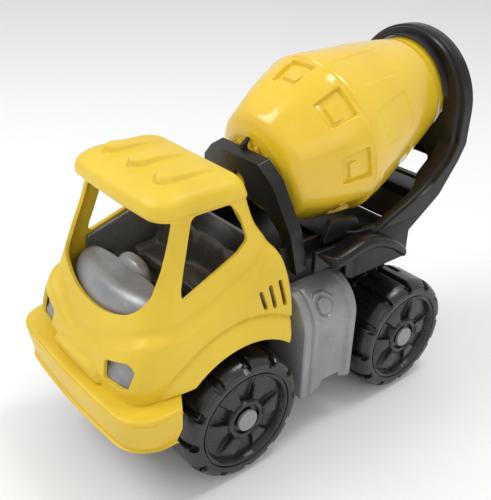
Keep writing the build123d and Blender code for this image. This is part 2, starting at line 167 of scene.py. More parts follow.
cabLook = {
    "colours": [(0.66, 0.45, 0.018), (0.72, 0.50, 0.024), (0.77, 0.55, 0.034)], "cloudScale": 22.0,
    "scratchScale": 60.0, "scratchStretch": (1.0, 1.0, 3.0), "rub": 0.10, "rubColour": (0.82, 0.64, 0.10),
    "roughness": (0.40, 0.54), "grainScale": 1900.0, "grain": 0.030, "waveScale": 45.0, "wave": 0.10,
    "constants": {"Subsurface Weight": 0.08, "Subsurface Radius": (0.004, 0.002, 0.0004), "Coat Weight": 0.08,
                  "Coat Roughness": 0.3},
}
drumLook = {
    "colours": [(0.70, 0.45, 0.014), (0.76, 0.51, 0.022), (0.80, 0.56, 0.036)], "cloudScale": 16.0,
    "scratchScale": 40.0, "scratchStretch": (1.0, 3.0, 1.0), "rub": 0.08, "rubColour": (0.92, 0.68, 0.10),
    "roughness": (0.17, 0.28), "grainScale": 900.0, "grain": 0.010, "waveScale": 30.0, "wave": 0.22,
    "constants": {"Subsurface Weight": 0.30, "Subsurface Radius": (0.010, 0.005, 0.0008), "Coat Weight": 0.35,
                  "Coat Roughness": 0.12},
}
frameLook = {
    "colours": [(0.0060, 0.0048, 0.0046), (0.0090, 0.0074, 0.0070), (0.015, 0.012, 0.011)],
    "cloudScale": 26.0, "scratchScale": 70.0, "scratchStretch": (1.0, 1.0, 2.5), "rub": 0.30,
    "rubColour": (0.030, 0.026, 0.024),
    "roughness": (0.24, 0.40), "grainScale": 1500.0, "grain": 0.035, "waveScale": 40.0, "wave": 0.18,
    "constants": {"Specular IOR Level": 0.36},
}
wheelLook = {
    "colours": [(0.0055, 0.0055, 0.0050), (0.0090, 0.0088, 0.0080), (0.016, 0.014, 0.012)],
    "cloudScale": 34.0, "scratchScale": 90.0, "scratchStretch": (2.0, 1.0, 1.0), "rub": 0.40,
    "rubColour": (0.045, 0.041, 0.036),
    "roughness": (0.18, 0.36), "grainScale": 1200.0, "grain": 0.040, "waveScale": 60.0, "wave": 0.20,
    "constants": {"Specular IOR Level": 0.6},
}
silverLook = {
    "colours": [(0.21, 0.215, 0.225), (0.27, 0.275, 0.285), (0.33, 0.335, 0.345)], "cloudScale": 30.0,
    "scratchScale": 300.0, "scratchStretch": (1.0, 1.0, 1.0), "rub": 0.35, "rubColour": (0.46, 0.46, 0.47),
    "roughness": (0.30, 0.42), "grainScale": 2200.0, "grain": 0.030, "waveScale": 35.0, "wave": 0.15,
    "constants": {"Metallic": 0.35},
}
steelLook = {
    "colours": [(0.42, 0.42, 0.43), (0.50, 0.50, 0.51), (0.58, 0.58, 0.58)], "cloudScale": 60.0,
    "scratchScale": 500.0, "scratchStretch": (1.0, 8.0, 8.0), "rub": 0.3, "rubColour": (0.7, 0.7, 0.7),
    "roughness": (0.22, 0.36), "grainScale": 1800.0, "grain": 0.012, "waveScale": 200.0, "wave": 0.02,
    "constants": {"Metallic": 1.0},
}
# the cabin's grey is the silver made darker: the shade inside the cabin painted into the colour
shadedCabinLook = dict(silverLook, colours=[(0.060, 0.052, 0.046), (0.085, 0.075, 0.066), (0.115, 0.102, 0.090)],
                 rub=0.2, rubColour=(0.17, 0.155, 0.14), roughness=(0.20, 0.32))
cabYellow = plastic("cab_yellow", cabLook)
drumYellow = plastic("drum_yellow", drumLook)
frameBlack = plastic("frame_black", frameLook)
wheelBlack = plastic("wheel_black", wheelLook)
silverGrey = plastic("silver_grey", silverLook)
shadedCabinGrey = plastic("cabin_shaded_grey", shadedCabinLook)
plainSteel = plastic("plain_steel", steelLook)
print("materials made")


# mesh helpers

def smoothStep(x, low, high):
    # 0 below low, 1 above high, three t squared less two t cubed between them
    t = np.clip((x - low) / (high - low), 0.0, 1.0)
    return t * t * (3.0 - 2.0 * t)


def gridQuads(rows, columns, closed):
    # quads between neighbouring rows and columns of a grid, numbered row by row
    i = np.arange(rows - 1)[:, None]
    j = np.arange(columns if closed else columns - 1)[None, :]
    k = (j + 1) % columns
    a, b, c, d = i * columns + j, i * columns + k, (i + 1) * columns + k, (i + 1) * columns + j
    return np.stack(np.broadcast_arrays(a, b, c, d), -1).reshape(-1, 4)


def meshPiece(name, points, faces, sharp=35.0):
    # points in millimetres; faces is a list of index arrays, each with one face size
    mesh = bpy.data.meshes.new(name)
    points = np.asarray(points, float).reshape(-1, 3) * mm
    allFaces = []
    for block in faces:
        allFaces += np.asarray(block).tolist()
    mesh.from_pydata(points.tolist(), [], allFaces)
    mesh.validate()
    mesh.polygons.foreach_set("use_smooth", np.ones(len(mesh.polygons), bool))
    mesh.set_sharp_from_angle(angle=math.radians(sharp))
    mesh.update()
    piece = bpy.data.objects.new(name, mesh)
    bpy.context.scene.collection.objects.link(piece)
    return piece


def facesOut(points, faces):
    # turns every face round when the closed shape's volume comes out negative
    volume = 0.0
    for block in faces:
        p = points[np.asarray(block)]
        centre = p.mean(1)
        normal = np.cross(p[:, 1] - p[:, 0], p[:, 2] - p[:, 0])
        if p.shape[1] == 4:
            normal = normal + np.cross(p[:, 2] - p[:, 0], p[:, 3] - p[:, 0])
        volume += (centre * normal).sum()
    return faces if volume > 0 else [np.asarray(block)[:, ::-1] for block in faces]


def closedGrid(name, points, sharp=35.0):
    # a grid closed round its columns, with a cap fan at its first and last row
    rows, columns, _ = points.shape
    flat = points.reshape(-1, 3)
    poles = np.stack([points[0].mean(0), points[-1].mean(0)])
    j = np.arange(columns)
    k = (j + 1) % columns
    first = np.stack([k, j, np.full(columns, rows * columns)], 1)
    last = (rows - 1) * columns
    second = np.stack([last + j, last + k, np.full(columns, rows * columns + 1)], 1)
    allPoints = np.concatenate([flat, poles])
    faces = facesOut(allPoints, [gridQuads(rows, columns, True), np.concatenate([first, second])])
    return meshPiece(name, allPoints, faces, sharp)


def torusGrid(name, points, sharp=35.0):
    # a grid closed both ways: the last row joins the first
    rows, columns, _ = points.shape
    quads = gridQuads(rows + 1, columns, True) % (rows * columns)
    flat = points.reshape(-1, 3)
    return meshPiece(name, flat, facesOut(flat, [quads]), sharp)


def addModifier(piece, kind, **settings):
    # a modifier with its settings filled in by name
    modifier = piece.modifiers.new(kind.title(), kind)
    for key, value in settings.items():
        setattr(modifier, key, value)
    return modifier


def bevelled(piece, width, segments=2, angle=40.0):
    # rounds every edge that turns by more than the angle; the width is in millimetres
    addModifier(piece, "BEVEL", width=width * mm, segments=segments, limit_method="ANGLE",
                angle_limit=math.radians(angle), harden_normals=False)
    return piece


def settle(piece, material, slotName, bodyName, *replaced):
    # gives a piece its material and body, and hides the nodes that it stands in for; the slot name is not
    # used
    piece.data.materials.clear()
    piece.data.materials.append(material)
    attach(piece, bodyName)
    if replaced:
        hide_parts(*replaced)
    return piece


def mirrored(points):
    # the same points across the middle plane: x times minus one
    return points * np.array([-1.0] + [1.0] * (points.shape[-1] - 1))


def roundedOutline(corners, radii, steps=6):
    # corners replaced by arcs tangent to both sides: the centre lies on the bisector, radius over sine away
    corners = np.asarray(corners, float)
    radii = np.broadcast_to(radii, len(corners))
    before = np.roll(corners, 1, 0) - corners
    after = np.roll(corners, -1, 0) - corners
    lenBefore = np.linalg.norm(before, axis=1)
    lenAfter = np.linalg.norm(after, axis=1)
    u = before / lenBefore[:, None]
    w = after / lenAfter[:, None]
    half = np.arccos(np.clip((u * w).sum(1), -1, 1)) / 2
    reach = np.minimum(radii / np.tan(half), 0.48 * np.minimum(lenBefore, lenAfter))
    radius = reach * np.tan(half)
    middle = u + w
    centre = corners + middle / np.linalg.norm(middle, axis=1)[:, None] * (radius / np.sin(half))[:, None]
    start = corners + u * reach[:, None] - centre
    end = corners + w * reach[:, None] - centre
    t = np.linspace(0, 1, steps + 1)[None, :, None]
    blend = start[:, None, :] * (1 - t) + end[:, None, :] * t
    blend = blend / np.linalg.norm(blend, axis=2, keepdims=True) * radius[:, None, None]
    return (centre[:, None, :] + blend).reshape(-1, 2)


def polygonDistance(points, outline):
    # signed distance from 2-D points to an outline, negative inside it
    a = outline
    b = np.roll(outline, -1, 0)
    best = np.full(len(points), 1e9)
    inside = np.zeros(len(points), bool)
    for p, q in zip(a, b):
        side = q - p
        t = np.clip(((points - p) @ side) / max(side @ side, 1e-9), 0, 1)
        best = np.minimum(best, np.linalg.norm(points - p - t[:, None] * side, axis=1))
        crosses = (p[1] > points[:, 1]) != (q[1] > points[:, 1])
        slope = (q[0] - p[0]) / (q[1] - p[1] if q[1] != p[1] else 1e-9)
        inside ^= crosses & (points[:, 0] < p[0] + (points[:, 1] - p[1]) * slope)
    return np.where(inside, -best, best)


def clipByField(points, quads, field):
    # keeps the part of a quad mesh where field > 0, cutting the quads that cross zero exactly on it
    state = field[quads] > 0
    whole = quads[state.all(1)]
    mixed = quads[state.any(1) & ~state.all(1)]
    tris = np.concatenate([mixed[:, [0, 1, 2]], mixed[:, [0, 2, 3]]])
    kept = field[tris] > 0
    count = kept.sum(1)
    full = tris[count == 3]
    lone = np.where(count == 1, kept.argmax(1), (~kept).argmax(1))
    order = (lone[:, None] + np.arange(3)[None, :]) % 3
    turned = np.take_along_axis(tris, order, 1)
    some = (count == 1) | (count == 2)
    turned, ones = turned[some], count[some] == 1
    edges = np.concatenate([turned[:, [0, 1]], turned[:, [0, 2]]])
    keys, where = np.unique(np.sort(edges, 1), axis=0, return_inverse=True)
    f0, f1 = field[keys[:, 0]], field[keys[:, 1]]
    t = (f0 / (f0 - f1))[:, None]
    cut = points[keys[:, 0]] * (1 - t) + points[keys[:, 1]] * t
    where = where.reshape(-1) + len(points)
    m1, m2 = where[:len(turned)], where[len(turned):]
    small = np.stack([turned[ones, 0], m1[ones], m2[ones]], 1)
    two = ~ones
    wide = np.stack([m1[two], turned[two, 1], turned[two, 2], m2[two]], 1)
    everything = np.concatenate([points, cut])
    blocks = [np.concatenate([whole, wide]), np.concatenate([full, small])]
    used = np.unique(np.concatenate([b.ravel() for b in blocks]))
    renumber = np.full(len(everything), -1)
    renumber[used] = np.arange(len(used))
    return everything[used], [renumber[b] for b in blocks]


def rowsToCurve(rows, counts):
    # spreads rows of numbers along a smooth curve: cubic steps between rows, with counts[i] samples each
    rows = np.asarray(rows, float)
    slopes = np.gradient(rows, axis=0)
    out = []
    for i, n in enumerate(counts):
        t = (np.arange(n) / n)[:, None]
        h0, h1 = 2 * t**3 - 3 * t**2 + 1, t**3 - 2 * t**2 + t
        h2, h3 = -2 * t**3 + 3 * t**2, t**3 - t**2
        out.append(h0 * rows[i] + h1 * slopes[i] + h2 * rows[i + 1] + h3 * slopes[i + 1])
    out.append(rows[-1:])
    return np.concatenate(out)


# cab shell

cab = {
    "noseY": cabLow[1], "bumperZ": cabLow[2], "ledgeZ": 79.0, "rearY": cabHigh[1], "halfWidth": 57.0,
    "bumperHalf": cabHigh[0], "archRadius": tyreRadius + 10.5, "archFlare": 5.2, "archStep": 2.4, "wall": 2.4,
    "creaseRadius": 67.0, "roofZ": 192.6, "padHalf": 26.5, "padLift": 2.8,
    "domes": (-26.0, 0.0, 26.0), "domeStartY": -95.0, "domeLength": 37.0, "domeHalf": 8.4, "domeLift": 4.0,
    "screenHalf": 45.6, "screenTopZ": 175.6, "screenBowl": 25.0, "screenBowlZ": 141.5,
    "vents": ((-43.3, 110.0, -46.9, 122.6), (-36.4, 108.6, -39.5, 124.2), (-28.8, 107.8, -32.0, 125.2)),
    "lensMargin": 2.2, "lensSetBack": 0.9, "lensThickness": 2.5,
    "linerFrontY": -99.0, "linerBottomZ": 105.0, "linerInset": 3.2, "linerThickness": 1.6, "keepWall": 50.0,
}


def cabLevels():
    # levels joined by cubics; each row: height, front y, rear y, half width, front corner, rear corner, bow
    n, r, w = cab["noseY"], cab["rearY"], cab["halfWidth"]
    rows = [
        (cab["bumperZ"], n + 8.4, r - 0.3, cab["bumperHalf"] - 4.2, 17, 8, 4.2),
        (cab["bumperZ"] + 0.8, n + 7.7, r - 0.3, cab["bumperHalf"] - 3.6, 17, 8, 4.2),
        (cab["ledgeZ"] - 2.6, n + 4.6, r - 0.3, cab["bumperHalf"] - 0.2, 18, 8, 4.4),
        (cab["ledgeZ"] - 0.7, n + 5.2, r - 0.3, cab["bumperHalf"] - 0.7, 18, 8, 4.3),
        (cab["ledgeZ"], n + 7.0, r - 0.3, cab["bumperHalf"] - 2.3, 17, 8, 4.2),
        (cab["ledgeZ"] + 0.3, n + 12.2, r - 0.3, w + 0.8, 14, 8, 3.6),
        (cab["ledgeZ"] + 1.2, n + 13.2, r - 0.3, w + 0.1, 14, 8, 3.5),
        (cab["ledgeZ"] + 10, n + 14.8, r - 0.3, w, 14, 5, 3.4),
        (102, n + 18.0, r - 0.3, w - 0.3, 14, 5, 3.2),
        (113, n + 22.6, r - 0.8, w - 1.6, 14, 5, 3.0),
        (124, n + 26.6, r - 2.2, w - 3.4, 14, 5, 2.8),
        (136, n + 30.2, r - 5.6, w - 5.8, 14, 5, 2.6),
        (148, n + 33.5, r - 13.0, w - 8.2, 13, 6, 2.4),
        (160, n + 36.8, r - 20.4, w - 10.0, 13, 7, 2.2),
        (172, n + 39.4, r - 24.0, w - 11.4, 13, 8, 2.0),
        (176.4, n + 40.2, r - 25.0, w - 11.8, 12, 8, 1.8),
        (177.6, n + 39.6, r - 25.3, w - 11.4, 12, 8, 1.9),
        (178.6, n + 37.4, r - 25.6, w - 10.0, 13, 8, 2.2),
        (181.5, n + 37.0, r - 26.4, w - 9.6, 14, 9, 2.4),
        (185.5, n + 38.2, r - 27.6, w - 10.4, 14, 10, 2.2),
        (188.6, n + 41.6, r - 29.8, w - 13.4, 14, 10, 1.9),
        (190.4, n + 46.4, r - 34.0, w - 18.2, 13, 10, 1.5),
        (191.2, n + 51.6, r - 39.0, w - 23.4, 11, 9, 1.2),
    ]
    counts = [2, 12, 3, 3, 6, 2, 6, 10, 9, 9, 9, 9, 8, 9, 5, 3, 4, 6, 7, 7, 6, 5]
    return rowsToCurve(rows, counts)


def cabOutline(levels):
    # every level is half a rounded rectangle from front middle to rear middle, mirrored to the far side
    z, f, r, w, cf, cr, bow = [c[:, None] for c in levels.T]
    t = np.linspace(0, 1, 34)[None, :-1]
    frontX, frontY = t * (w - cf), f + 0 * t
    a = np.linspace(0, math.pi / 2, 26)[None, :-1]
    cornerX, cornerY = w - cf + cf * np.sin(a), f + cf - cf * np.cos(a)
    s = np.linspace(0, 1, 92)[None, :-1]
    sideX, sideY = w + 0 * s, f + cf + s * (r - cr - f - cf)
    b = np.linspace(0, math.pi / 2, 14)[None, :-1]
    backX, backY = w - cr + cr * np.cos(b), r - cr + cr * np.sin(b)
    q = np.linspace(0, 1, 26)[None, :]
    rearX, rearY = (1 - q) * (w - cr), r + 0 * q
    x = np.concatenate([frontX, cornerX, sideX, backX, rearX], 1)
    y = np.concatenate([frontY, cornerY, sideY, backY, rearY], 1)
    y = y - bow * np.clip(1 - (x / w)**2, 0, 1) * (y < (f + r) / 2)
    half = np.stack([x, y, z + 0 * x], -1)
    return np.concatenate([half, mirrored(half[:, -2:0:-1])], 1)


def cabRelief(p):
    # smooth steps added to the bare form: arch flare, belt, nose pad and roof domes
    x, y, z = p[..., 0].copy(), p[..., 1].copy(), p[..., 2].copy()
    side = np.sign(x) * smoothStep(np.abs(x), 30, 46)
    front = smoothStep(-y, 98, 116)
    reach = np.hypot(y - frontAxleY, z - axleZ)
    inside = cab["creaseRadius"] - reach
    # the fender stands out in a step at its crease and swells towards the wheel
    aboveLedge = smoothStep(z, cab["ledgeZ"] - 4, cab["ledgeZ"] + 3)
    room = np.clip(1.0 - (np.abs(x) - 60.0) / 8.0, 0, 1)
    swell = cab["archStep"] * smoothStep(inside, 0.0, 2.6)
    swell += (cab["archFlare"] - cab["archStep"]) * smoothStep(inside, 2.0, 14.0)
    x += side * swell * aboveLedge * room
    # the belt: a rounded shoulder that runs under the windscreen and rises along both sides
    belt = np.interp(np.abs(x), [0, 15, 34, 50], [98.6, 101.0, 109.0, 116.5])
    belt = belt + np.interp(y, [-100, -76, -56, -46, -36, -24], [0, 6, 13, 17.8, 29, 33])
    shoulder = 2.9 * smoothStep(belt - z, -0.6, 4.2) - 0.9 * np.exp(-((z - belt - 2.6) / 2.4)**2)
    shoulder *= smoothStep(z, 80.5, 90.0) * (1 - smoothStep(inside, -1.0, 1.0) * aboveLedge)
    y -= shoulder * front
    x += side * shoulder * (1 - 0.6 * front)
    # raised pad in the middle of the nose
    aboveBumper = z - cab["ledgeZ"]
    padEdge = cab["padHalf"] - 5.0 * (aboveBumper / 10.0)**2
    pad = smoothStep(padEdge - np.abs(x), 0.0, 2.2) * smoothStep(aboveBumper, 0.2, 1.6)
    y -= cab["padLift"] * pad * smoothStep(12.5 - aboveBumper, 0.0, 3.0) * (y < -110)
    # three teardrop domes on the roof: blunt in front, sinking into the roof behind
    top = smoothStep(z, 186, 190)
    for middle in cab["domes"]:
        along = np.clip((y - cab["domeStartY"]) / cab["domeLength"], 0, 1)
        half = cab["domeHalf"] * (1 - 0.22 * along) * np.sqrt(1 - (1 - np.clip(along * 4.4, 0, 1))**2)
        lift = smoothStep(half - np.abs(x - middle), 0.0, 3.0) * (1 - along)**0.6
        z += cab["domeLift"] * lift * top
    return np.stack([x, y, z], -1)


def lampOutline():
    # five-sided lamp opening seen from the front, its corners rounded
    corners = [(29.5, 98.5), (48.0, 104.6), (52.6, 101.0), (50.8, 89.4), (31.4, 87.0)]
    return roundedOutline(corners, [2, 4, 4, 2.5, 2], 4)


def nearer(field, where, distance):
    # the smaller of two fields, the second one only where it applies
    return np.minimum(field, np.where(where, distance, cab["keepWall"]))


def cabOpenings(p):
    # positive where the wall stays: the least distance to the windows, vents, lamp holes and wheel arches
    x, y, z = p.T
    ax = np.abs(x)
    frontView, sideView = np.stack([x, z], 1), np.stack([y, z], 1)
    half, topZ = cab["screenHalf"], cab["screenTopZ"]
    t = np.linspace(0, math.pi, 41)[1:-1]
    bowl = np.stack([half * np.cos(t), cab["screenBowlZ"] - cab["screenBowl"] * np.sin(t)**0.9], 1)
    post = [(half, 150.0), (half - 1.6, topZ), (1.6 - half, topZ), (-half, 150.0)]
    screen = np.concatenate([post, bowl[::-1]])
    field = nearer(np.full(len(x), cab["keepWall"]), y < frontAxleY - 20, polygonDistance(frontView, screen))
    window = roundedOutline([(-97.6, 132.2), (-97.0, 139), (-91.0, 158), (-86.0, 176.2), (-60, 176.6),
                             (-54.2, 168), (-49.8, 153.4), (-57.4, 147.6)], [2.5, 5, 20, 5, 6, 12, 4, 12], 5)
    field = nearer(field, ax > 33, polygonDistance(sideView, window))
    back = roundedOutline([(-30, 130), (30, 130), (28, 167), (-28, 167)], 6.0, 6)
    field = nearer(field, (y > -60) & (ax < 36), polygonDistance(frontView, back))
    for lowY, low, highY, high in cab["vents"]:
        vent = [(lowY - 1.6, low), (lowY + 1.6, low), (highY + 1.5, high), (highY - 1.5, high)]
        field = nearer(field, ax > 40, polygonDistance(sideView, roundedOutline(vent, 1.3, 3)))
    field = nearer(field, y < -100, polygonDistance(np.stack([ax, z], 1), lampOutline()))
    tip = (cab["noseY"] + 35.2 - y) + (cab["bumperHalf"] - 1.0 - ax) * 0.6
    field = nearer(field, (ax > 56) & (z < cab["ledgeZ"] + 2), tip)
    field = nearer(field, ax > 24, np.hypot(y - frontAxleY, z - axleZ) - cab["archRadius"])
    field = nearer(field, y > frontAxleY - 8, z - cab["ledgeZ"] + 1.5)
    return nearer(field, y > frontAxleY, np.maximum(ax - 27.7, z - 98.7))


def mergeDoubles(piece, distance):
    # joins vertices nearer than the distance, where a fan or an end meets the rest
    work = bmesh.new()
    work.from_mesh(piece.data)
    bmesh.ops.remove_doubles(work, verts=work.verts, dist=distance * mm)
    work.to_mesh(piece.data)
    work.free()
    piece.data.set_sharp_from_angle(angle=math.radians(50))


def makeCab():
    # levels, crown and relief in one closed grid, cut where the openings' field turns negative
    levels = cabLevels()
    grid = cabOutline(levels)
    edge = grid[-1]
    middle = edge.mean(0)
    shrink = np.linspace(1, 0.02, 56)[1:, None, None]
    crown = middle + (edge - middle) * shrink  # the last outline shrunk evenly, rising a little
    crown[..., 2] = edge[0, 2] + (cab["roofZ"] - edge[0, 2]) * (1 - shrink[..., 0]**2)
    grid = cabRelief(np.concatenate([grid, crown]))
    rows, columns, _ = grid.shape
    flat = grid.reshape(-1, 3)
    points, blocks = clipByField(flat, gridQuads(rows, columns, True), cabOpenings(flat))
    last = grid[-1]  # a fan closes the roof at its pole
    start = len(points)
    points = np.concatenate([points, last, last.mean(0, keepdims=True)])
    j = np.arange(columns)
    fan = np.stack([start + j, start + (j + 1) % columns, np.full(columns, start + columns)], 1)
    blocks[1] = np.concatenate([blocks[1], fan])
    piece = meshPiece("cab_body", points, facesOut(points, blocks), 50)
    mergeDoubles(piece, 0.02)
    addModifier(piece, "SOLIDIFY", thickness=cab["wall"] * mm, offset=-1.0, use_even_offset=False)
    bevelled(piece, 0.45, 2, 55)
    settle(piece, cabYellow, "cab_yellow", "root", "cab_shell")
    makeLamps(levels[:60], columns)
    makeLiner(levels, columns)


def makeLamps(levels, columns):
    # lenses: the nose surface itself, cut a little larger than the hole and set back, with a step below
    base = cabOutline(levels)
    flat = base.reshape(-1, 3)
    for side, word in sides:
        near = polygonDistance(np.stack([flat[:, 0] * side, flat[:, 2]], 1), lampOutline())
        field = np.where(flat[:, 1] < -100, cab["lensMargin"] - near, -5.0)
        points, blocks = clipByField(flat, gridQuads(len(base), columns, True), field)
        below = 96.8 - points[:, 2] - 0.12 * points[:, 0] * side
        points[:, 1] += cab["lensSetBack"] - 1.1 * smoothStep(below, 0, 0.8)
        lamp = meshPiece(f"lamp_{word}", points, facesOut(points, blocks), 40)
        addModifier(lamp, "SOLIDIFY", thickness=cab["lensThickness"] * mm, offset=-1.0)
        settle(lamp, silverGrey, "silver_grey", "root", f"headlight_{word}")


def makeLiner(levels, columns):
    # cabin lining up to the window sills: the cab's bare form moved inwards
    inner = cabOutline(levels).reshape(-1, 3)
    sill = 130.6 + np.interp(inner[:, 1], [-97, -57, -40], [0, 14.5, 14.5])
    ahead = np.minimum(inner[:, 2] - cab["linerBottomZ"], inner[:, 1] - cab["linerFrontY"])
    field = np.minimum(sill - inner[:, 2], ahead)
    inset = np.stack([np.sign(inner[:, 0]) * smoothStep(np.abs(inner[:, 0]), 20, 40),
                      smoothStep(inner[:, 1], -45, -30), 0 * sill], 1) * cab["linerInset"]
    points, blocks = clipByField(inner - inset, gridQuads(len(levels), columns, True), field)
    liner = meshPiece("cabin_liner", points, facesOut(points, blocks), 40)
    addModifier(liner, "SOLIDIFY", thickness=cab["linerThickness"] * mm, offset=-1.0)
    settle(liner, silverGrey, "silver_grey", "root")


makeCab()
print("cab made")


# drum

drum = {
    "frontS": 8.0, "seamS": 61.5, "mouthS": 144.0, "endS": 153.0, "radius": 53.5, "mouthRadius": 33.5,
    "sides": 8, "facet": 1.8, "floorRadius": 45.4, "wall": 2.2, "columns": 480, "panelDepth": 0.6,
    "padLift": 2.0, "seamLift": 1.3, "teeth": 16, "toothRoot": 17.0, "toothLift": 4.8, "toothBore": 6.0,
    "toothFrontS": 4.8, "toothBackS": 7.6,
}
drumKnots = np.array([
    (8.0, 24.0), (8.4, 28.0), (11.0, 33.5), (15.0, 37.6), (22.0, 41.6), (32.0, 46.0), (44.0, 50.0),
    (54.0, 52.6), (61.5, 53.5), (72.0, 52.4), (88.0, 49.2), (112.0, 43.2), (130.0, 38.4), (144.0, 34.6),
    (153.0, 33.5),
])


def onDrum(s, r, a):
    # a point s along the drum's axis, r out from it, at angle a from the vehicle's left side
    x = r * np.cos(a)
    up = r * np.sin(a)
    onAxis = drumPivot + s[..., None] * drumAxis
    return onAxis + x[..., None] * np.array([1.0, 0, 0]) + up[..., None] * drumUp


def band(value, low, high, soft):
    # 1 between low and high, falling to 0 over the soft width at either end
    return smoothStep(value, low, low + soft) * smoothStep(high - value, 0.0, soft)


def drumRelief(s, a, r):
    # radius plus flats, notches with pads, seam ring and cone panels, each a product of smooth bands
    pitch = 2 * math.pi / drum["sides"]
    front = smoothStep(61.0 - s, 0.0, 4.0) * smoothStep(s, 12.0, 22.0)
    r = r - drum["facet"] * front * (0.5 + 0.5 * np.cos(a * drum["sides"]))
    across = ((a + pitch / 2) % pitch - pitch / 2) * 48.0
    notch = smoothStep(s, 38.0, 39.0) * smoothStep(57.5 - s, 0.0, 0.9)
    notch = notch * smoothStep(9.6 - np.abs(across), 0.0, 0.9)
    floor = drum["floorRadius"] + 0.045 * (s - 38.0)
    pad = smoothStep(6.2 - np.abs(across + 1.6), 0.0, 0.9) * band(s, 42.5, 51.0, 0.9)
    r = r - notch * np.clip(r - floor, 0, None) + drum["padLift"] * pad
    r = r + drum["seamLift"] * smoothStep(1.7 - np.abs(s - drum["seamS"]), 0.0, 1.0)
    panelAcross = np.abs((a + 0.1) % pitch - pitch / 2) * r
    r = r - drum["panelDepth"] * smoothStep(12.5 - panelAcross, 0.0, 1.0) * band(s, 70.0, 104.0, 1.5)
    r = np.minimum(r, drum["radius"] + 0.2)
    lip = drum["mouthRadius"] + smoothStep(drum["mouthS"] + 0.5 - s, 0, 4) * 1.6
    return np.where(s > drum["mouthS"] - 4, np.minimum(r, lip), r)


def makeDrum():
    # outside and inside are one profile turned about the tilted axis, the outside with its relief
    frontS, endS, columns = drum["frontS"], drum["endS"], drum["columns"]
    s = np.concatenate([np.linspace(frontS, 59.0, 78, endpoint=False),
                        np.linspace(59.0, 64.0, 14, endpoint=False), np.linspace(64.0, endS, 74)])
    radius = np.interp(s, drumKnots[:, 0], drumKnots[:, 1])
    radius = np.convolve(np.pad(radius, 3, "edge"), np.ones(7) / 7, "valid")
    a = np.linspace(0, 2 * math.pi, columns, endpoint=False)
    along, around = np.meshgrid(s, a, indexing="ij")
    outer = onDrum(along, drumRelief(along, around, radius[:, None] + 0 * around), around)
    innerS = np.concatenate([[endS], np.linspace(150.0, 20.0, 50), [11.5, 10.5]])
    innerR = np.interp(innerS, s, radius) - drum["wall"] - 1.5 * (innerS < 60)
    innerR[0] = drum["mouthRadius"] - drum["wall"]
    innerR[-1] = 15.0
    along, around = np.meshgrid(innerS, a, indexing="ij")
    inner = onDrum(along, innerR[:, None] + 0 * around, around)
    piece = closedGrid("drum_shell", np.concatenate([outer, inner], 0), 40)
    settle(piece, drumYellow, "drum_yellow", "drum",
           "drum_front_shell", "drum_rear_shell", "drum_mouth_ring")


def makeRatchet():
    # pointed teeth round the front of the drum: a ring whose radius swings with angle
    teeth = drum["teeth"]
    a = np.linspace(0, 2 * math.pi, teeth * 12, endpoint=False)
    saw = np.abs(((a * teeth / (2 * math.pi)) % 1.0) - 0.5) * 2
    tip = drum["toothRoot"] + drum["toothLift"] * smoothStep(saw, 0.25, 1.0)
    bore = np.full_like(a, drum["toothBore"])
    front, back = np.full_like(a, drum["toothFrontS"]), np.full_like(a, drum["toothBackS"])
    rows = [onDrum(s, r, a) for s, r in ((front, bore), (front, tip), (back, tip), (back, bore))]
    piece = torusGrid("drum_ratchet", np.stack(rows), 30)
    bevelled(piece, 0.35)
    settle(piece, drumYellow, "drum_yellow", "drum", "drum_ratchet_ring")


makeDrum()
makeRatchet()
print("drum made")


# wheels

wheel = {
    "blocks": 12, "spokes": 6, "radius": 42.0, "width": 38.0, "bore": 3.2, "dish": 5.2,
    "grooveDepth": 3.0, "grooveHalf": 2.1, "notchDepth": 3.2, "notchHalf": 2.2, "notchTurn": 0.035,
    "spokeHalf": 2.6, "spokeSpread": 0.30, "spokeLift": 3.9,
}


def fromMiddle(angle, pitch):
    # angle to the nearest multiple of the pitch
    return (angle + pitch / 2) % pitch - pitch / 2


def wheelProfile():
    # rows of radius and depth behind the outer face, each with the number of steps to the next row
    full, width, bore, dish = wheel["radius"], wheel["width"], wheel["bore"], wheel["dish"]
    rows = [
        (bore, -3.4, 2), (9.6, -3.4, 3), (9.9, -1.4, 2), (10.6, -0.9, 3), (12.2, -1.1, 3), (12.9, -2.4, 3),
        (14.0, -dish, 16), (28.6, -dish + 0.4, 4), (30.0, -1.2, 3), (31.2, -0.3, 2), (31.7, -0.2, 2),
        (31.9, -1.3, 2), (32.5, -1.3, 2), (32.7, -0.2, 3), (35.0, 0.0, 4), (37.6, -0.3, 4), (39.4, -1.4, 4),
        (40.6, -3.4, 3), (41.4, -5.4, 3), (full, -7.4, 12), (full, -19.0, 12), (full, -31.0, 4),
        (40.8, -35.0, 3), (38.0, -37.6, 4), (34.0, -width, 3), (33.0, -36.0, 4), (31.6, -12.0, 5),
        (14.0, -11.0, 4), (13.0, -36.0, 2), (12.0, -width, 2), (bore, -width, 1),
    ]
    radius, depth = [], []
    for (r0, x0, n), (r1, x1, _) in zip(rows[:-1], rows[1:]):
        t = np.arange(n) / n
        radius.append(r0 + (r1 - r0) * t)
        depth.append(x0 + (x1 - x0) * t)
    return np.concatenate(radius + [[bore]]), np.concatenate(depth + [[-width]])


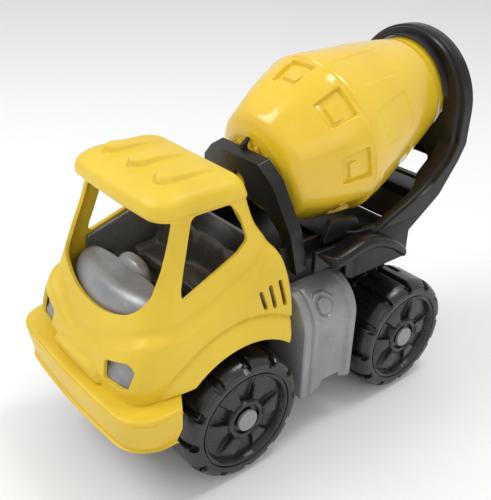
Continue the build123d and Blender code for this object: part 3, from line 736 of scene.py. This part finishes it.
def wheelGrid():
    # the profile turned about the axle; grooves, notches, lugs and spokes are bands in angle and radius
    radius, depth = wheelProfile()
    pitch = 2 * math.pi / wheel["blocks"]
    spokePitch = 2 * math.pi / wheel["spokes"]
    even = np.linspace(0, pitch, 30, endpoint=False)
    walls = pitch * np.array([0.031, 0.045, 0.059, 0.941, 0.955, 0.969, 0.5, 0.47, 0.53, 0.3, 0.33])
    one = np.unique(np.round(np.concatenate([even, walls]), 6))  # samples crowd at groove walls
    angles = (np.arange(wheel["blocks"])[:, None] * pitch + one[None, :]).ravel()
    r0, a = np.meshgrid(radius, angles, indexing="ij")
    x0 = depth[:, None] + 0 * a
    arc = np.abs(fromMiddle(a, pitch)) * wheel["radius"]
    groove = smoothStep(wheel["grooveHalf"] - arc, -0.25, 0.25)
    r = r0 - wheel["grooveDepth"] * groove * smoothStep(r0, 38.2, 39.2) * (x0 > -33.5)
    # each groove hooks into the side face as a notch
    notchArc = np.abs(fromMiddle(a - wheel["notchTurn"], pitch)) * 37.0
    notch = smoothStep(wheel["notchHalf"] - notchArc, -0.3, 0.3) * smoothStep(r0, 36.0, 36.6) * (x0 > -8)
    x = x0 - wheel["notchDepth"] * notch * (r0 < 40.5)
    # staggered lugs on the inner row of the tread
    lugArc = np.abs(a % pitch - pitch / 2) * wheel["radius"]
    lug = smoothStep(wheel["grooveHalf"] - lugArc, -0.25, 0.25) * (x0 < -20.5) * (x0 > -34.0) * (r0 > 40.5)
    r = r - wheel["grooveDepth"] * lug * 0.9
    # wedge spokes rise out of the dish, narrow at the hub and broad at the rim
    spokeArc = np.abs(fromMiddle(a, spokePitch)) * r0
    spokeHalf = wheel["spokeHalf"] + wheel["spokeSpread"] * (r0 - 13.0)
    dishZone = smoothStep(r0, 12.2, 13.6) * smoothStep(30.6 - r0, 0.0, 0.8) * (x0 > -9)
    spoke = smoothStep(spokeHalf + 1.1 - spokeArc, 0.0, 1.4)
    return r, x + spoke * dishZone * (wheel["spokeLift"] - 0.011 * (r0 - 13.0)**2), a


def makeWheels():
    # the same grid at each of the four corners, its depth mirrored on the right
    r, x, a = wheelGrid()
    for end, middleY in ends:
        for side, word in sides:
            points = [side * (wheelHigh[0] + x), middleY + r * np.cos(a), axleZ + r * np.sin(a)]
            piece = torusGrid(f"wheel_{end}_{word}_moulding", np.stack(points, -1), 28)
            settle(piece, wheelBlack, "wheel_black", f"{end}_{word}_wheel", f"wheel_{end}_{word}")


def makeCaps():
    # flat round push-on caps: a disc profile turned about the axle
    profile = np.array([(5.6, 0.75), (6.4, 0.62), (6.95, 0.2), (7.15, -0.4), (7.15, -1.8), (3.1, -1.8)])
    r, x = profile[:, :1], profile[:, 1:]
    a = np.linspace(0, 2 * math.pi, 64, endpoint=False)
    for end, middleY in ends:
        for side, word in sides:
            points = [side * (wheelHigh[0] + x + 0 * a), middleY + r * np.cos(a), axleZ + r * np.sin(a)]
            piece = closedGrid(f"axle_cap_{end}_{word}", np.stack(points, -1), 40)
            settle(piece, silverGrey, "silver_grey", "root", "axle_caps")


makeWheels()
makeCaps()
print("wheels made")


# black frame

def prism(name, outline, low, high, axis, bevelWidth, segments=2, holes=()):
    # an outline, with any holes in it, carried straight along one axis; ends capped, edges softened
    loops = [np.asarray(loop, float) for loop in (outline, *holes)]
    flat = np.concatenate(loops)
    n = len(flat)
    points = np.concatenate([np.insert(flat, axis, value, axis=1) for value in (low, high)])
    walls, start = [], 0
    for loop in loops:
        j = np.arange(len(loop))
        k = (j + 1) % len(loop)
        walls += np.stack([start + j, start + k, start + k + n, start + j + n], 1).tolist()
        start += len(loop)
    if holes:
        cap = tessellate_polygon([[Vector((*p, 0)) for p in loop] for loop in loops])
    else:
        cap = [list(range(n))]
    mesh = bpy.data.meshes.new(name)
    faces = walls + [list(face)[::-1] for face in cap] + [[i + n for i in face] for face in cap]
    mesh.from_pydata((points * mm).tolist(), [], faces)
    work = bmesh.new()
    work.from_mesh(mesh)
    bmesh.ops.recalc_face_normals(work, faces=work.faces)
    work.to_mesh(mesh)
    work.free()
    mesh.polygons.foreach_set("use_smooth", np.ones(len(mesh.polygons), bool))
    mesh.set_sharp_from_angle(angle=math.radians(30))
    piece = bpy.data.objects.new(name, mesh)
    bpy.context.scene.collection.objects.link(piece)
    return bevelled(piece, bevelWidth, segments, 35)


def frameBar(name, outline, low, high, axis, bevelWidth, *replaced, holes=(), segments=2):
    # a black prism fixed to the body
    bar = prism(name, outline, low, high, axis, bevelWidth, segments, holes)
    return settle(bar, frameBlack, "frame_black", "root", *replaced)


hoop = {
    "depth": 13.0, "legThickness": 8.0, "hole": 34.2, "collar": 7.5, "panelHalf": 42.0,
    "plateHalf": 40.0, "plateReach": 35.0, "plateThickness": 5.0, "gapBottomZ": 138.2, "gapTopZ": 157.0,
    "gapHalf": 28.3, "gapBevel": 0.7,
}


def makeHoopBand():
    # twelve corners of the section carried from one foot over the drum's mouth to the other foot;
    # each lies between the inner and the outer curve, some way behind the front curve
    frontY, rearY = hoopHigh[1] - hoop["depth"], hoopHigh[1] - 0.2
    half = hoopHigh[0] - 0.2
    archZ = hoopHigh[2] - half - 0.2
    mouth = drumPivot + drumAxis * ((frontY + 6 - drumPivot[1]) / drumAxis[1])
    footZ = hoopLow[2] + 0.1
    legZ = np.concatenate([np.linspace(a, b, n, endpoint=False)
                           for a, b, n in ((footZ, 140, 16), (140, 172, 18), (172, archZ, 8))])
    angle = np.linspace(0, math.pi, 61)
    outX = np.concatenate([np.full(len(legZ), half), half * np.cos(angle), np.full(len(legZ), -half)])
    outZ = np.concatenate([legZ, archZ + half * np.sin(angle), legZ[::-1]])
    hole, legHalf = hoop["hole"], half - hoop["legThickness"]
    legIn = np.where(legZ < 140, legHalf, legHalf - (legHalf - hole) * smoothStep(legZ, 140, 150))
    inX = np.concatenate([legIn, hole * np.cos(angle), -legIn[::-1]])
    inZ = np.concatenate([legZ, mouth[2] - 1.4 + (hole + 0.5) * np.sin(angle), legZ[::-1]])
    onArch = np.concatenate([0 * legZ, np.sin(angle), 0 * legZ])
    collar = hoop["collar"] * np.clip(onArch, 0, 1)**0.6
    frontZ, rearZ = [footZ, 126, 146, 160, 170, 300], [footZ, 137, 158, 169, 300]
    front = np.interp(outZ, frontZ, [54.4, 56.0, frontY - 22, frontY - 5, frontY, frontY])
    rear = np.interp(outZ, rearZ, [deckHigh[1] - 0.3, rearY - 22, rearY - 6, rearY, rearY])
    section = [
        (0.0, front + 1.0 - collar, 0), (0.0, rear - 1.0, 2.6), (0.06, rear, 0), (0.55, rear, 0),
        (0.94, rear, 0), (1.0, rear - 0.9, 0), (1.0, front + 4.2, 0), (0.96, front + 3.4, 0),
        (0.80, front + 3.0, 0), (0.74, front + 0.4, 0), (0.70, front, 0), (0.20, front, 0),
        (0.08, front - collar, 0),
    ]
    rows = [np.stack([inX + (outX - inX) * share, y, inZ + (outZ - inZ) * share + lift * onArch], -1)
            for share, y, lift in section]
    piece = closedGrid("hoop_band", np.stack(rows, 1), 32)
    settle(piece, frameBlack, "frame_black", "root", "rear_hoop")


def makeHoopPanels():
    # plate under the drum's mouth, its top edge an arc round the axis, then the sill and slanted panel below
    frontY, footZ = hoopHigh[1] - hoop["depth"], hoopLow[2] + 0.1
    middleZ = drumPivot[2] + (frontY - drumPivot[1]) * drumAxis[2] / drumAxis[1]
    a = np.linspace(math.radians(-18), math.radians(-162), 30)
    arc = np.stack([hoop["plateReach"] * np.cos(a), middleZ + hoop["plateReach"] * np.sin(a)], 1)
    half, gapHalf, gapTop = hoop["plateHalf"], hoop["gapHalf"], hoop["gapTopZ"]
    plate = np.concatenate([arc, [(-half, 189), (-half, 134), (half, 134), (half, 189)]])
    gap = roundedOutline([(-gapHalf, hoop["gapBottomZ"]), (gapHalf, hoop["gapBottomZ"]),
                          (gapHalf + 0.3, gapTop), (-gapHalf - 0.3, gapTop)], [6, 6, 2, 2], 5)
    plateY = frontY + 0.4
    frameBar("hoop_plate", plate, plateY, plateY + hoop["plateThickness"], 1, hoop["gapBevel"], holes=[gap])
    reach = hoop["panelHalf"]
    sill = roundedOutline([(107.2, 128.6), (107.2, 137.8), (129.4, 137.8), (121.5, 135.5)], 0.8, 3)
    frameBar("hoop_sill", sill, -reach, reach, 0, 0.6)
    slope = roundedOutline([(90.5, footZ), (90.5, footZ + 3), (106.8, 132.0), (108.0, 129.2)], 0.6, 3)
    short = roundedOutline([(90.5, footZ), (90.5, footZ + 3), (103.4, 129.8), (104.6, 127.0)], 0.6, 3)
    for index, (x0, x1, shape) in enumerate([(-reach, -10, slope), (-10, 5, short), (5, reach, slope)]):
        frameBar(f"hoop_slope_{index}", shape, x0, x1, 0, 0.3)


makeHoopBand()
makeHoopPanels()


stand = {
    "thickness": 8.8, "frontS": -5.0, "bore": 5.4, "footBelow": 5.6, "topHalf": 22.0, "shoulderHalf": 33.0,
}


def makeStand():
    # arch with a bore, drawn across the drum's axis, then leaned back with it and cut level at its feet
    foot, top, shoulder = standHigh[0] - 2.3, stand["topHalf"], stand["shoulderHalf"]
    right = [(top, 18.2), (shoulder, 7.5), (foot, -24), (foot, -54),
             (foot - 9, -54), (foot - 10, -27), (20, -12)]
    outline = [(-x, z) for x, z in right[3::-1]] + right + [(-x, z) for x, z in right[:3:-1]]
    radii = [0.6, 12, 5, 2, 2, 5, 12, 0.6, 0.6, 9, 8, 8, 9, 0.6]
    a = np.linspace(0, 2 * math.pi, 33)[:-1]
    bore = stand["bore"] * np.stack([np.cos(a), np.sin(a)], 1)
    rounded = roundedOutline(outline, radii, 4)
    piece = prism("stand_arch", rounded, 0.0, stand["thickness"], 2, 1.1, 3, holes=[bore])
    co = np.empty(len(piece.data.vertices) * 3)
    piece.data.vertices.foreach_get("co", co)
    local = co.reshape(-1, 3) / mm
    x, up, along = local[:, :1], local[:, 1:2], local[:, 2:] + stand["frontS"]
    world = drumPivot + x * np.array([1.0, 0, 0]) + up * drumUp + along * drumAxis
    world[:, 2] = np.maximum(world[:, 2], standLow[2] - stand["footBelow"])
    piece.data.vertices.foreach_set("co", (world * mm).ravel())
    piece.data.update()
    settle(piece, frameBlack, "frame_black", "root", "front_stand")


makeStand()

deck = {
    "frontHalf": 38.0, "rearHalf": 49.8, "widenY": 22.0, "wideY": 44.0, "wallEndY": 56.0,
    "wallThickness": 3.0, "spacerHalf": 21.0, "spacerBottomZ": 98.1,
}


def makeDeck():
    # floor narrow beside the tanks and wide behind them along a smooth step, with a wall along each edge
    top, narrow, wide = hoopLow[2], deck["frontHalf"], deck["rearHalf"]
    t = np.linspace(0, 1, 13)[1:-1]
    swing = np.stack([narrow + (wide - narrow) * smoothStep(t, 0, 1),
                      deck["widenY"] + (deck["wideY"] - deck["widenY"]) * t], 1)
    edge = np.concatenate([[(narrow, deckLow[1] + 0.2), (narrow, deck["widenY"])], swing,
                           [(wide, deck["wideY"]), (wide, deckHigh[1] - 0.2)]])
    plan = np.concatenate([edge, mirrored(edge[::-1])])
    slot = roundedOutline([(-20, 30), (20, 30), (20, 36), (-20, 36)], 1.0, 3)
    frameBar("deck_floor", plan, deckLow[2], top, 2, 0.5, "deck_frame", holes=[slot])
    path = edge[:-1].copy()
    path[-1] = (wide, deck["wallEndY"])
    web = roundedOutline([(14, 129), (20, 143.5), (43, 139), (50, 127)], [0.6, 1.6, 1.6, 0.6], 3)
    skirt = [(4, 127), (4, 113), (32, 113), (33, 100), (41, 96), (53, 110), (57, 126)]
    skirt = roundedOutline(skirt, 1.5, 3)
    for side, word in sides:
        strip = np.concatenate([path, (path - [deck["wallThickness"], 0])[::-1]]) * [side, 1]
        frameBar(f"deck_wall_{word}", strip, top - 0.5, deckHigh[2] - 0.3, 2, 0.7)
        frameBar(f"deck_web_{word}", web, *sorted((side * 40.5, side * 44.5)), 0, 0.9)
        frameBar(f"guard_skirt_{word}", skirt, *sorted((side * 45.0, side * 48.6)), 0, 0.8)
    half, frontY, rearY = deck["spacerHalf"], deckLow[1] + 4, deckHigh[1] - 25
    spacer = [(-half, frontY), (half, frontY), (half, rearY), (-half, rearY)]
    frameBar("deck_spacer", spacer, deck["spacerBottomZ"], deckLow[2], 2, 0.4)


makeDeck()


def closedSheet(name, outer, inner):
    # two matching grids joined round their edges into one closed plate
    rows, columns, _ = outer.shape
    quads = gridQuads(rows, columns, False)
    count = rows * columns
    i, j = np.arange(rows - 1), np.arange(columns - 1)
    left = np.stack([i * columns, (i + 1) * columns, (i + 1) * columns + count, i * columns + count], 1)
    right = left[:, ::-1] + columns - 1
    low = np.stack([j + 1, j, j + count, j + 1 + count], 1)
    high = low[:, ::-1] + (rows - 1) * columns
    points = np.concatenate([outer.reshape(-1, 3), inner.reshape(-1, 3)])
    faces = facesOut(points, [np.concatenate([quads, quads[:, ::-1] + count, left, right, low, high])])
    piece = meshPiece(name, points, faces, 35)
    return bevelled(piece, 0.5, 2, 60)


guard = {"innerX": 47.0, "startY": 6.5, "length": 73.5, "rows": 70}


def makeMudguards():
    # lipped section carried along an S-shaped line over the rear wheel, thinning at both ends
    section = np.array([(47.0, -1.2), (52.0, -0.9), (55.0, 0.1), (57.6, 0.6), (60.2, 0.2), (61.9, -1.2),
                        (62.5, -3.2), (62.2, -5.2), (61.0, -6.8), (59.2, -7.4), (57.6, -6.8),
                        (55.6, -5.0), (47.0, -5.0)])
    t = np.linspace(0, 1, guard["rows"])
    y = guard["startY"] + guard["length"] * t
    z = np.interp(y, [7, 17, 28, 40, 52, 67, 80], [126.0, 126.4, 129.6, 131.4, 129.0, 121.4, 110.0])
    z = np.convolve(np.pad(z, 6, "edge"), np.ones(13) / 13, "valid")
    taper = np.sqrt(np.clip(1 - np.clip((t - 0.93) / 0.07, 0, 1)**2, 0.04, 1))
    taper = taper * np.sqrt(np.clip(t / 0.05, 0.05, 1))
    x = guard["innerX"] + (section[:, 0] - guard["innerX"]) * taper[:, None]
    lift = z[:, None] + section[:, 1] * taper[:, None]
    for side, word in sides:
        points = np.stack([side * x, y[:, None] + 0 * x, lift], -1)
        piece = closedGrid(f"mudguard_{word}_moulding", points, 50)
        settle(piece, frameBlack, "frame_black", "root", f"mudguard_{word}")


makeMudguards()
print("frame made")


# silver tanks between the wheels

tank = {
    "rib": 1.7, "shoulder": 24.0, "topZ": 104.4, "bossY": 5.0, "bossAngle": 34.0, "bossHalf": 9.8,
    "bossLift": 1.3, "capRadius": 5.8, "capLift": 1.7, "stepUp": 5.0, "wall": 3.0,
    "sideRows": 44, "topRows": 7,
}


def makeTanks():
    # upright side, quarter circle and flat top carried along the vehicle, moved out along the normal at
    # the ribs and the octagon boss; the boss is the greater of a square and a square turned by an eighth
    low, top, shoulder = tankLow[2], min(tankHigh[2], tank["topZ"]), tank["shoulder"]
    outX, inX = tankHigh[0] - tank["rib"], tankLow[0]
    side, flat = tank["sideRows"], tank["topRows"]
    a = np.linspace(0, math.pi / 2, 60)
    px = np.concatenate([np.full(side, outX), outX - shoulder + shoulder * np.cos(a),
                         np.linspace(outX - shoulder, inX, flat + 1)[1:]])
    pz = np.concatenate([np.linspace(low, top - shoulder, side, endpoint=False),
                         top - shoulder + shoulder * np.sin(a), np.full(flat, top)])
    nx = np.concatenate([np.ones(side), np.cos(a), np.zeros(flat)])
    nz = np.concatenate([np.zeros(side), np.sin(a), np.ones(flat)])
    length = np.concatenate([[0], np.cumsum(np.hypot(np.diff(px), np.diff(pz)))])
    front, rear = tankLow[1] + 0.2, tankHigh[1] - 0.2
    run, y = np.meshgrid(length, np.linspace(front, rear, 120), indexing="ij")
    ribs = ((3.6, front + 3.2), (2.9, front + 10.4), (3.6, rear - 3.0))
    rib = sum(smoothStep(half - np.abs(y - middle), 0.0, 1.6) for half, middle in ribs)
    bossRun = top - shoulder - low + shoulder * math.radians(tank["bossAngle"])
    u, v = y - tank["bossY"], run - bossRun
    turned = np.maximum(np.maximum(np.abs(u), np.abs(v)), (np.abs(u) + np.abs(v)) / math.sqrt(2.0))
    ring = smoothStep(tank["bossHalf"] - turned, 0.0, 1.2) * smoothStep(np.hypot(u, v), 6.4, 7.4)
    cap = smoothStep(tank["capRadius"] - np.hypot(u, v), 0.0, 0.9)
    boss = tank["bossLift"] * ring + tank["capLift"] * cap
    lift = np.maximum(tank["rib"] * np.clip(rib, 0, 1), boss)
    # the lower edge is stepped: the middle stands higher than the ribs
    arch = smoothStep(y, front + 17, front + 20) * smoothStep(rear - 8 - y, 0, 3)
    step = tank["stepUp"] * arch * np.clip(1 - run / 30.0, 0, 1)
    x = px[:, None] + nx[:, None] * lift
    z = np.minimum(pz[:, None] + nz[:, None] * lift + step, top)
    innerX = np.maximum(inX, np.minimum(x - tank["wall"], inX))
    innerZ = z.copy()
    innerZ[-flat - 2:] = top - 4.0
    for side, word in sides:
        outer = np.stack([side * x, y, z], -1)
        inner = np.stack([side * innerX, y, innerZ], -1)
        piece = closedSheet(f"tank_{word}_moulding", outer, inner)
        settle(piece, silverGrey, "silver_grey", "root", f"side_tank_{word}")


makeTanks()
print("tanks made")


# cabin

cowl = {"middleY": -99.0, "half": 52.0, "frontReach": 22.6, "rearReach": 5.0, "baseZ": 109.5, "rise": 20.5}
hood = {"middleX": -3.0, "middleY": -93.5, "half": 15.0, "reach": 6.5, "baseZ": 120.0, "rise": 14.5}
cabin = {
    "floorZ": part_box("cab_insert")[0][2] / mm + 6.0, "dashHalf": 49.0, "floorHalf": 48.5,
    "floorFrontY": -112.0, "floorRearY": -37.0, "floorThickness": 2.4,
}


def domePiece(name, x, y, z, *replaced):
    # rows from the pole to the rim, then straight down to just above the cabin floor
    rim = np.stack([x[-1], y[-1], np.full_like(x[-1], cabin["floorZ"] + 3.0)], -1)[None]
    piece = closedGrid(name, np.concatenate([np.stack([x, y, z], -1), rim]), 45)
    settle(piece, silverGrey, "silver_grey", "root", *replaced)


def makeDash():
    # cowl: half oval in plan, height the root of one less reach to the fifth; hood: rounded square in plan
    turn = np.linspace(0, 2 * math.pi, 160, endpoint=False)
    t, a = np.meshgrid(np.linspace(0, 1, 46), turn, indexing="ij")
    reach = np.sin(t * math.pi / 2)**0.8
    cosine, sine = np.cos(a), np.sin(a)
    depth = np.where(sine < 0, cowl["frontReach"], cowl["rearReach"])
    domePiece("dash_cowl", cowl["half"] * reach * cosine, cowl["middleY"] + depth * reach * sine,
              cowl["baseZ"] + cowl["rise"] * (1 - reach**5.0)**0.5, "cab_insert")
    domePiece("dash_hood", hood["middleX"] + hood["half"] * np.sign(cosine) * np.abs(cosine)**0.7 * reach,
              hood["middleY"] + hood["reach"] * np.sign(sine) * np.abs(sine)**0.8 * reach,
              hood["baseZ"] + hood["rise"] * (1 - reach**3.2)**0.5)


def makeCabinFloor():
    # dashboard and floor: rounded outlines carried across the cabin
    z, half = cabin["floorZ"], cabin["dashHalf"]
    dash = [(-98, z), (-98, z + 12), (-90, z + 15), (-82, z + 11), (-80, z)]
    board = prism("dashboard", roundedOutline(dash, [1, 3, 4, 4, 1], 5), -half, half, 0, 1.2)
    # the dashboard, and the floor below, take the darker copy of the silver: the cabin's shade painted into
    # their colour
    settle(board, shadedCabinGrey, "silver_grey", "root")
    front, rear, half = cabin["floorFrontY"], cabin["floorRearY"], cabin["floorHalf"]
    low, high = z - 0.1, z - 0.1 + cabin["floorThickness"]
    floor = roundedOutline([(front, low), (front, high), (rear, high), (rear, low)], 0.6, 2)
    plate = prism("cabin_floor", floor, -half, half, 0, 0.4)
    settle(plate, shadedCabinGrey, "silver_grey", "root")


seat = {"groovePitch": 30.0, "grooveDepth": 1.0, "back": 4.0, "cushion": 9.0}


def evened(values):
    # running mean of seven, which rounds the path's corners
    return np.convolve(np.pad(values, 3, "edge"), np.ones(7) / 7, "valid")


def makeSeat():
    # cushion and back along one bent path, with upright grooves cut along its normal
    low, high = boxOf("seat_bench")
    x = np.linspace(low[0] + 0.3, high[0] - 0.3, 170)
    t = np.linspace(0, 1, 60)
    front, bottom, rear, top = low[1], low[2], high[1], high[2]
    path = np.array([(front + 1.0, bottom + 9.0), (front + 1.5, bottom + 13.0), (rear - 11.5, bottom + 14.0),
                     (rear - 10.0, bottom + 16.0), (rear - 5.5, top - 3.5), (rear - 4.0, top - 1.0)])
    run = np.concatenate([[0], np.cumsum(np.linalg.norm(np.diff(path, axis=0), axis=1))])
    pathY = evened(np.interp(t * run[-1], run, path[:, 0]))
    pathZ = evened(np.interp(t * run[-1], run, path[:, 1]))
    stepY, stepZ = np.gradient(pathY), np.gradient(pathZ)
    size = np.hypot(stepY, stepZ)
    groove = -seat["grooveDepth"] * (0.5 + 0.5 * np.cos(2 * math.pi * x / seat["groovePitch"]))**8
    y = pathY[:, None] + (stepZ / size)[:, None] * groove
    z = pathZ[:, None] + (stepY / size)[:, None] * groove
    across = x + 0 * y
    outer = np.stack([across, y, z], -1)
    inner = np.stack([across, np.minimum(y + seat["back"], rear - 0.3),
                      np.maximum(z - seat["cushion"], bottom + 0.2)], -1)
    piece = closedSheet("seat_moulding", outer, inner)
    # the seat takes the darker copy of the silver: the cabin's shade painted into its colour
    settle(piece, shadedCabinGrey, "silver_grey", "root", "seat_bench")


makeDash()
makeCabinFloor()
makeSeat()
print("cabin made")

click = {"half": 1.4, "bevel": 0.35}


def makeClick():
    # springy finger on top of the stand: a thin blade with a pointed tip between the teeth
    blade = [(-17.6, 181), (-17.0, 187.5), (-12.4, 191.0), (-11.6, 190.2), (-13.6, 186), (-13.8, 181)]
    outline = roundedOutline(blade, 0.5, 3)
    frameBar("click_finger", outline, -click["half"], click["half"], 0, click["bevel"], "click_spring")


makeClick()


# CAD pieces that stay as they are get their finish

carried = {
    frameBlack: ["chassis_tray"],
    drumYellow: ["drum_pivot_pin", "mixing_vanes"],
    plainSteel: ["front_axle", "rear_axle", "cab_screws", "deck_screws"],
}
for material, names in carried.items():
    for name in names:
        data = nodesInFrame[name].data
        data.materials.clear()
        data.materials.append(material)
print("small parts finished")


# floor, light and camera

stage = {
    "floorHalf": 3.0, "floorColour": (0.90, 0.90, 0.90, 1.0), "floorRoughness": 0.85, "worldStrength": 0.72,
    "lights": [("key", (-0.45, -0.70, 1.10), (0, 0, 0.12), 0.55, 6.0),
               ("fill", (0.95, -0.25, 0.60), (0, 0, 0.10), 0.8, 1.6),
               ("top", (0.15, 0.35, 1.3), (0, 0, 0.15), 0.35, 4.0)],
}


def makeFloor():
    # one pale square under the wheels
    size = stage["floorHalf"]
    mesh = bpy.data.meshes.new("floor")
    square = [(-size, -size, 0), (size, -size, 0), (size, size, 0), (-size, size, 0)]
    mesh.from_pydata(square, [], [(0, 1, 2, 3)])
    floor = bpy.data.objects.new("floor", mesh)
    bpy.context.scene.collection.objects.link(floor)
    mat, _, shader = newMaterial("pale_floor")
    shader.inputs["Base Color"].default_value = stage["floorColour"]
    shader.inputs["Roughness"].default_value = stage["floorRoughness"]
    mesh.materials.append(mat)


def areaLight(name, place, target, size, energy):
    # a square light at a place, turned to look at its target; metres and watts
    data = bpy.data.lights.new(name, "AREA")
    data.energy = energy
    data.size = size
    lamp = bpy.data.objects.new(name, data)
    lamp.location = place
    lamp.rotation_euler = (Vector(target) - Vector(place)).to_track_quat("-Z", "Y").to_euler()
    bpy.context.scene.collection.objects.link(lamp)


view = {"place": (0.3200, -0.2800, 0.3409), "azimuth": 49.995, "elevation": 28.59, "roll": 1.82,
        "focalShare": 1.4602, "sensor": 36.0}


def makeCamera():
    # columns of the turn are the right, up and backward directions; the roll turns the first two
    a, e, r = (math.radians(view[key]) for key in ("azimuth", "elevation", "roll"))
    back = Vector((math.sin(a) * math.cos(e), -math.cos(a) * math.cos(e), math.sin(e)))
    right = Vector((0, 0, 1)).cross(back).normalized()
    up = back.cross(right)
    rolledRight = right * math.cos(r) + up * math.sin(r)
    rolledUp = up * math.cos(r) - right * math.sin(r)
    data = bpy.data.cameras.new("camera")
    data.sensor_width = view["sensor"]
    data.lens = view["focalShare"] * view["sensor"]
    data.clip_start = 0.01
    camera = bpy.data.objects.new("camera", data)
    turn = Matrix((rolledRight, rolledUp, back)).transposed().to_4x4()
    camera.matrix_world = Matrix.Translation(view["place"]) @ turn
    bpy.context.scene.collection.objects.link(camera)
    bpy.context.scene.camera = camera


def makeWorld():
    # even white surroundings
    world = bpy.data.worlds.new("studio")
    world.use_nodes = True
    background = world.node_tree.nodes["Background"]
    background.inputs["Color"].default_value = (1.0, 1.0, 1.0, 1.0)
    background.inputs["Strength"].default_value = stage["worldStrength"]
    bpy.context.scene.world = world


bpy.context.scene.view_settings.view_transform = "Standard"
makeFloor()
for light in stage["lights"]:
    areaLight(*light)
makeCamera()
makeWorld()
print("stage set")
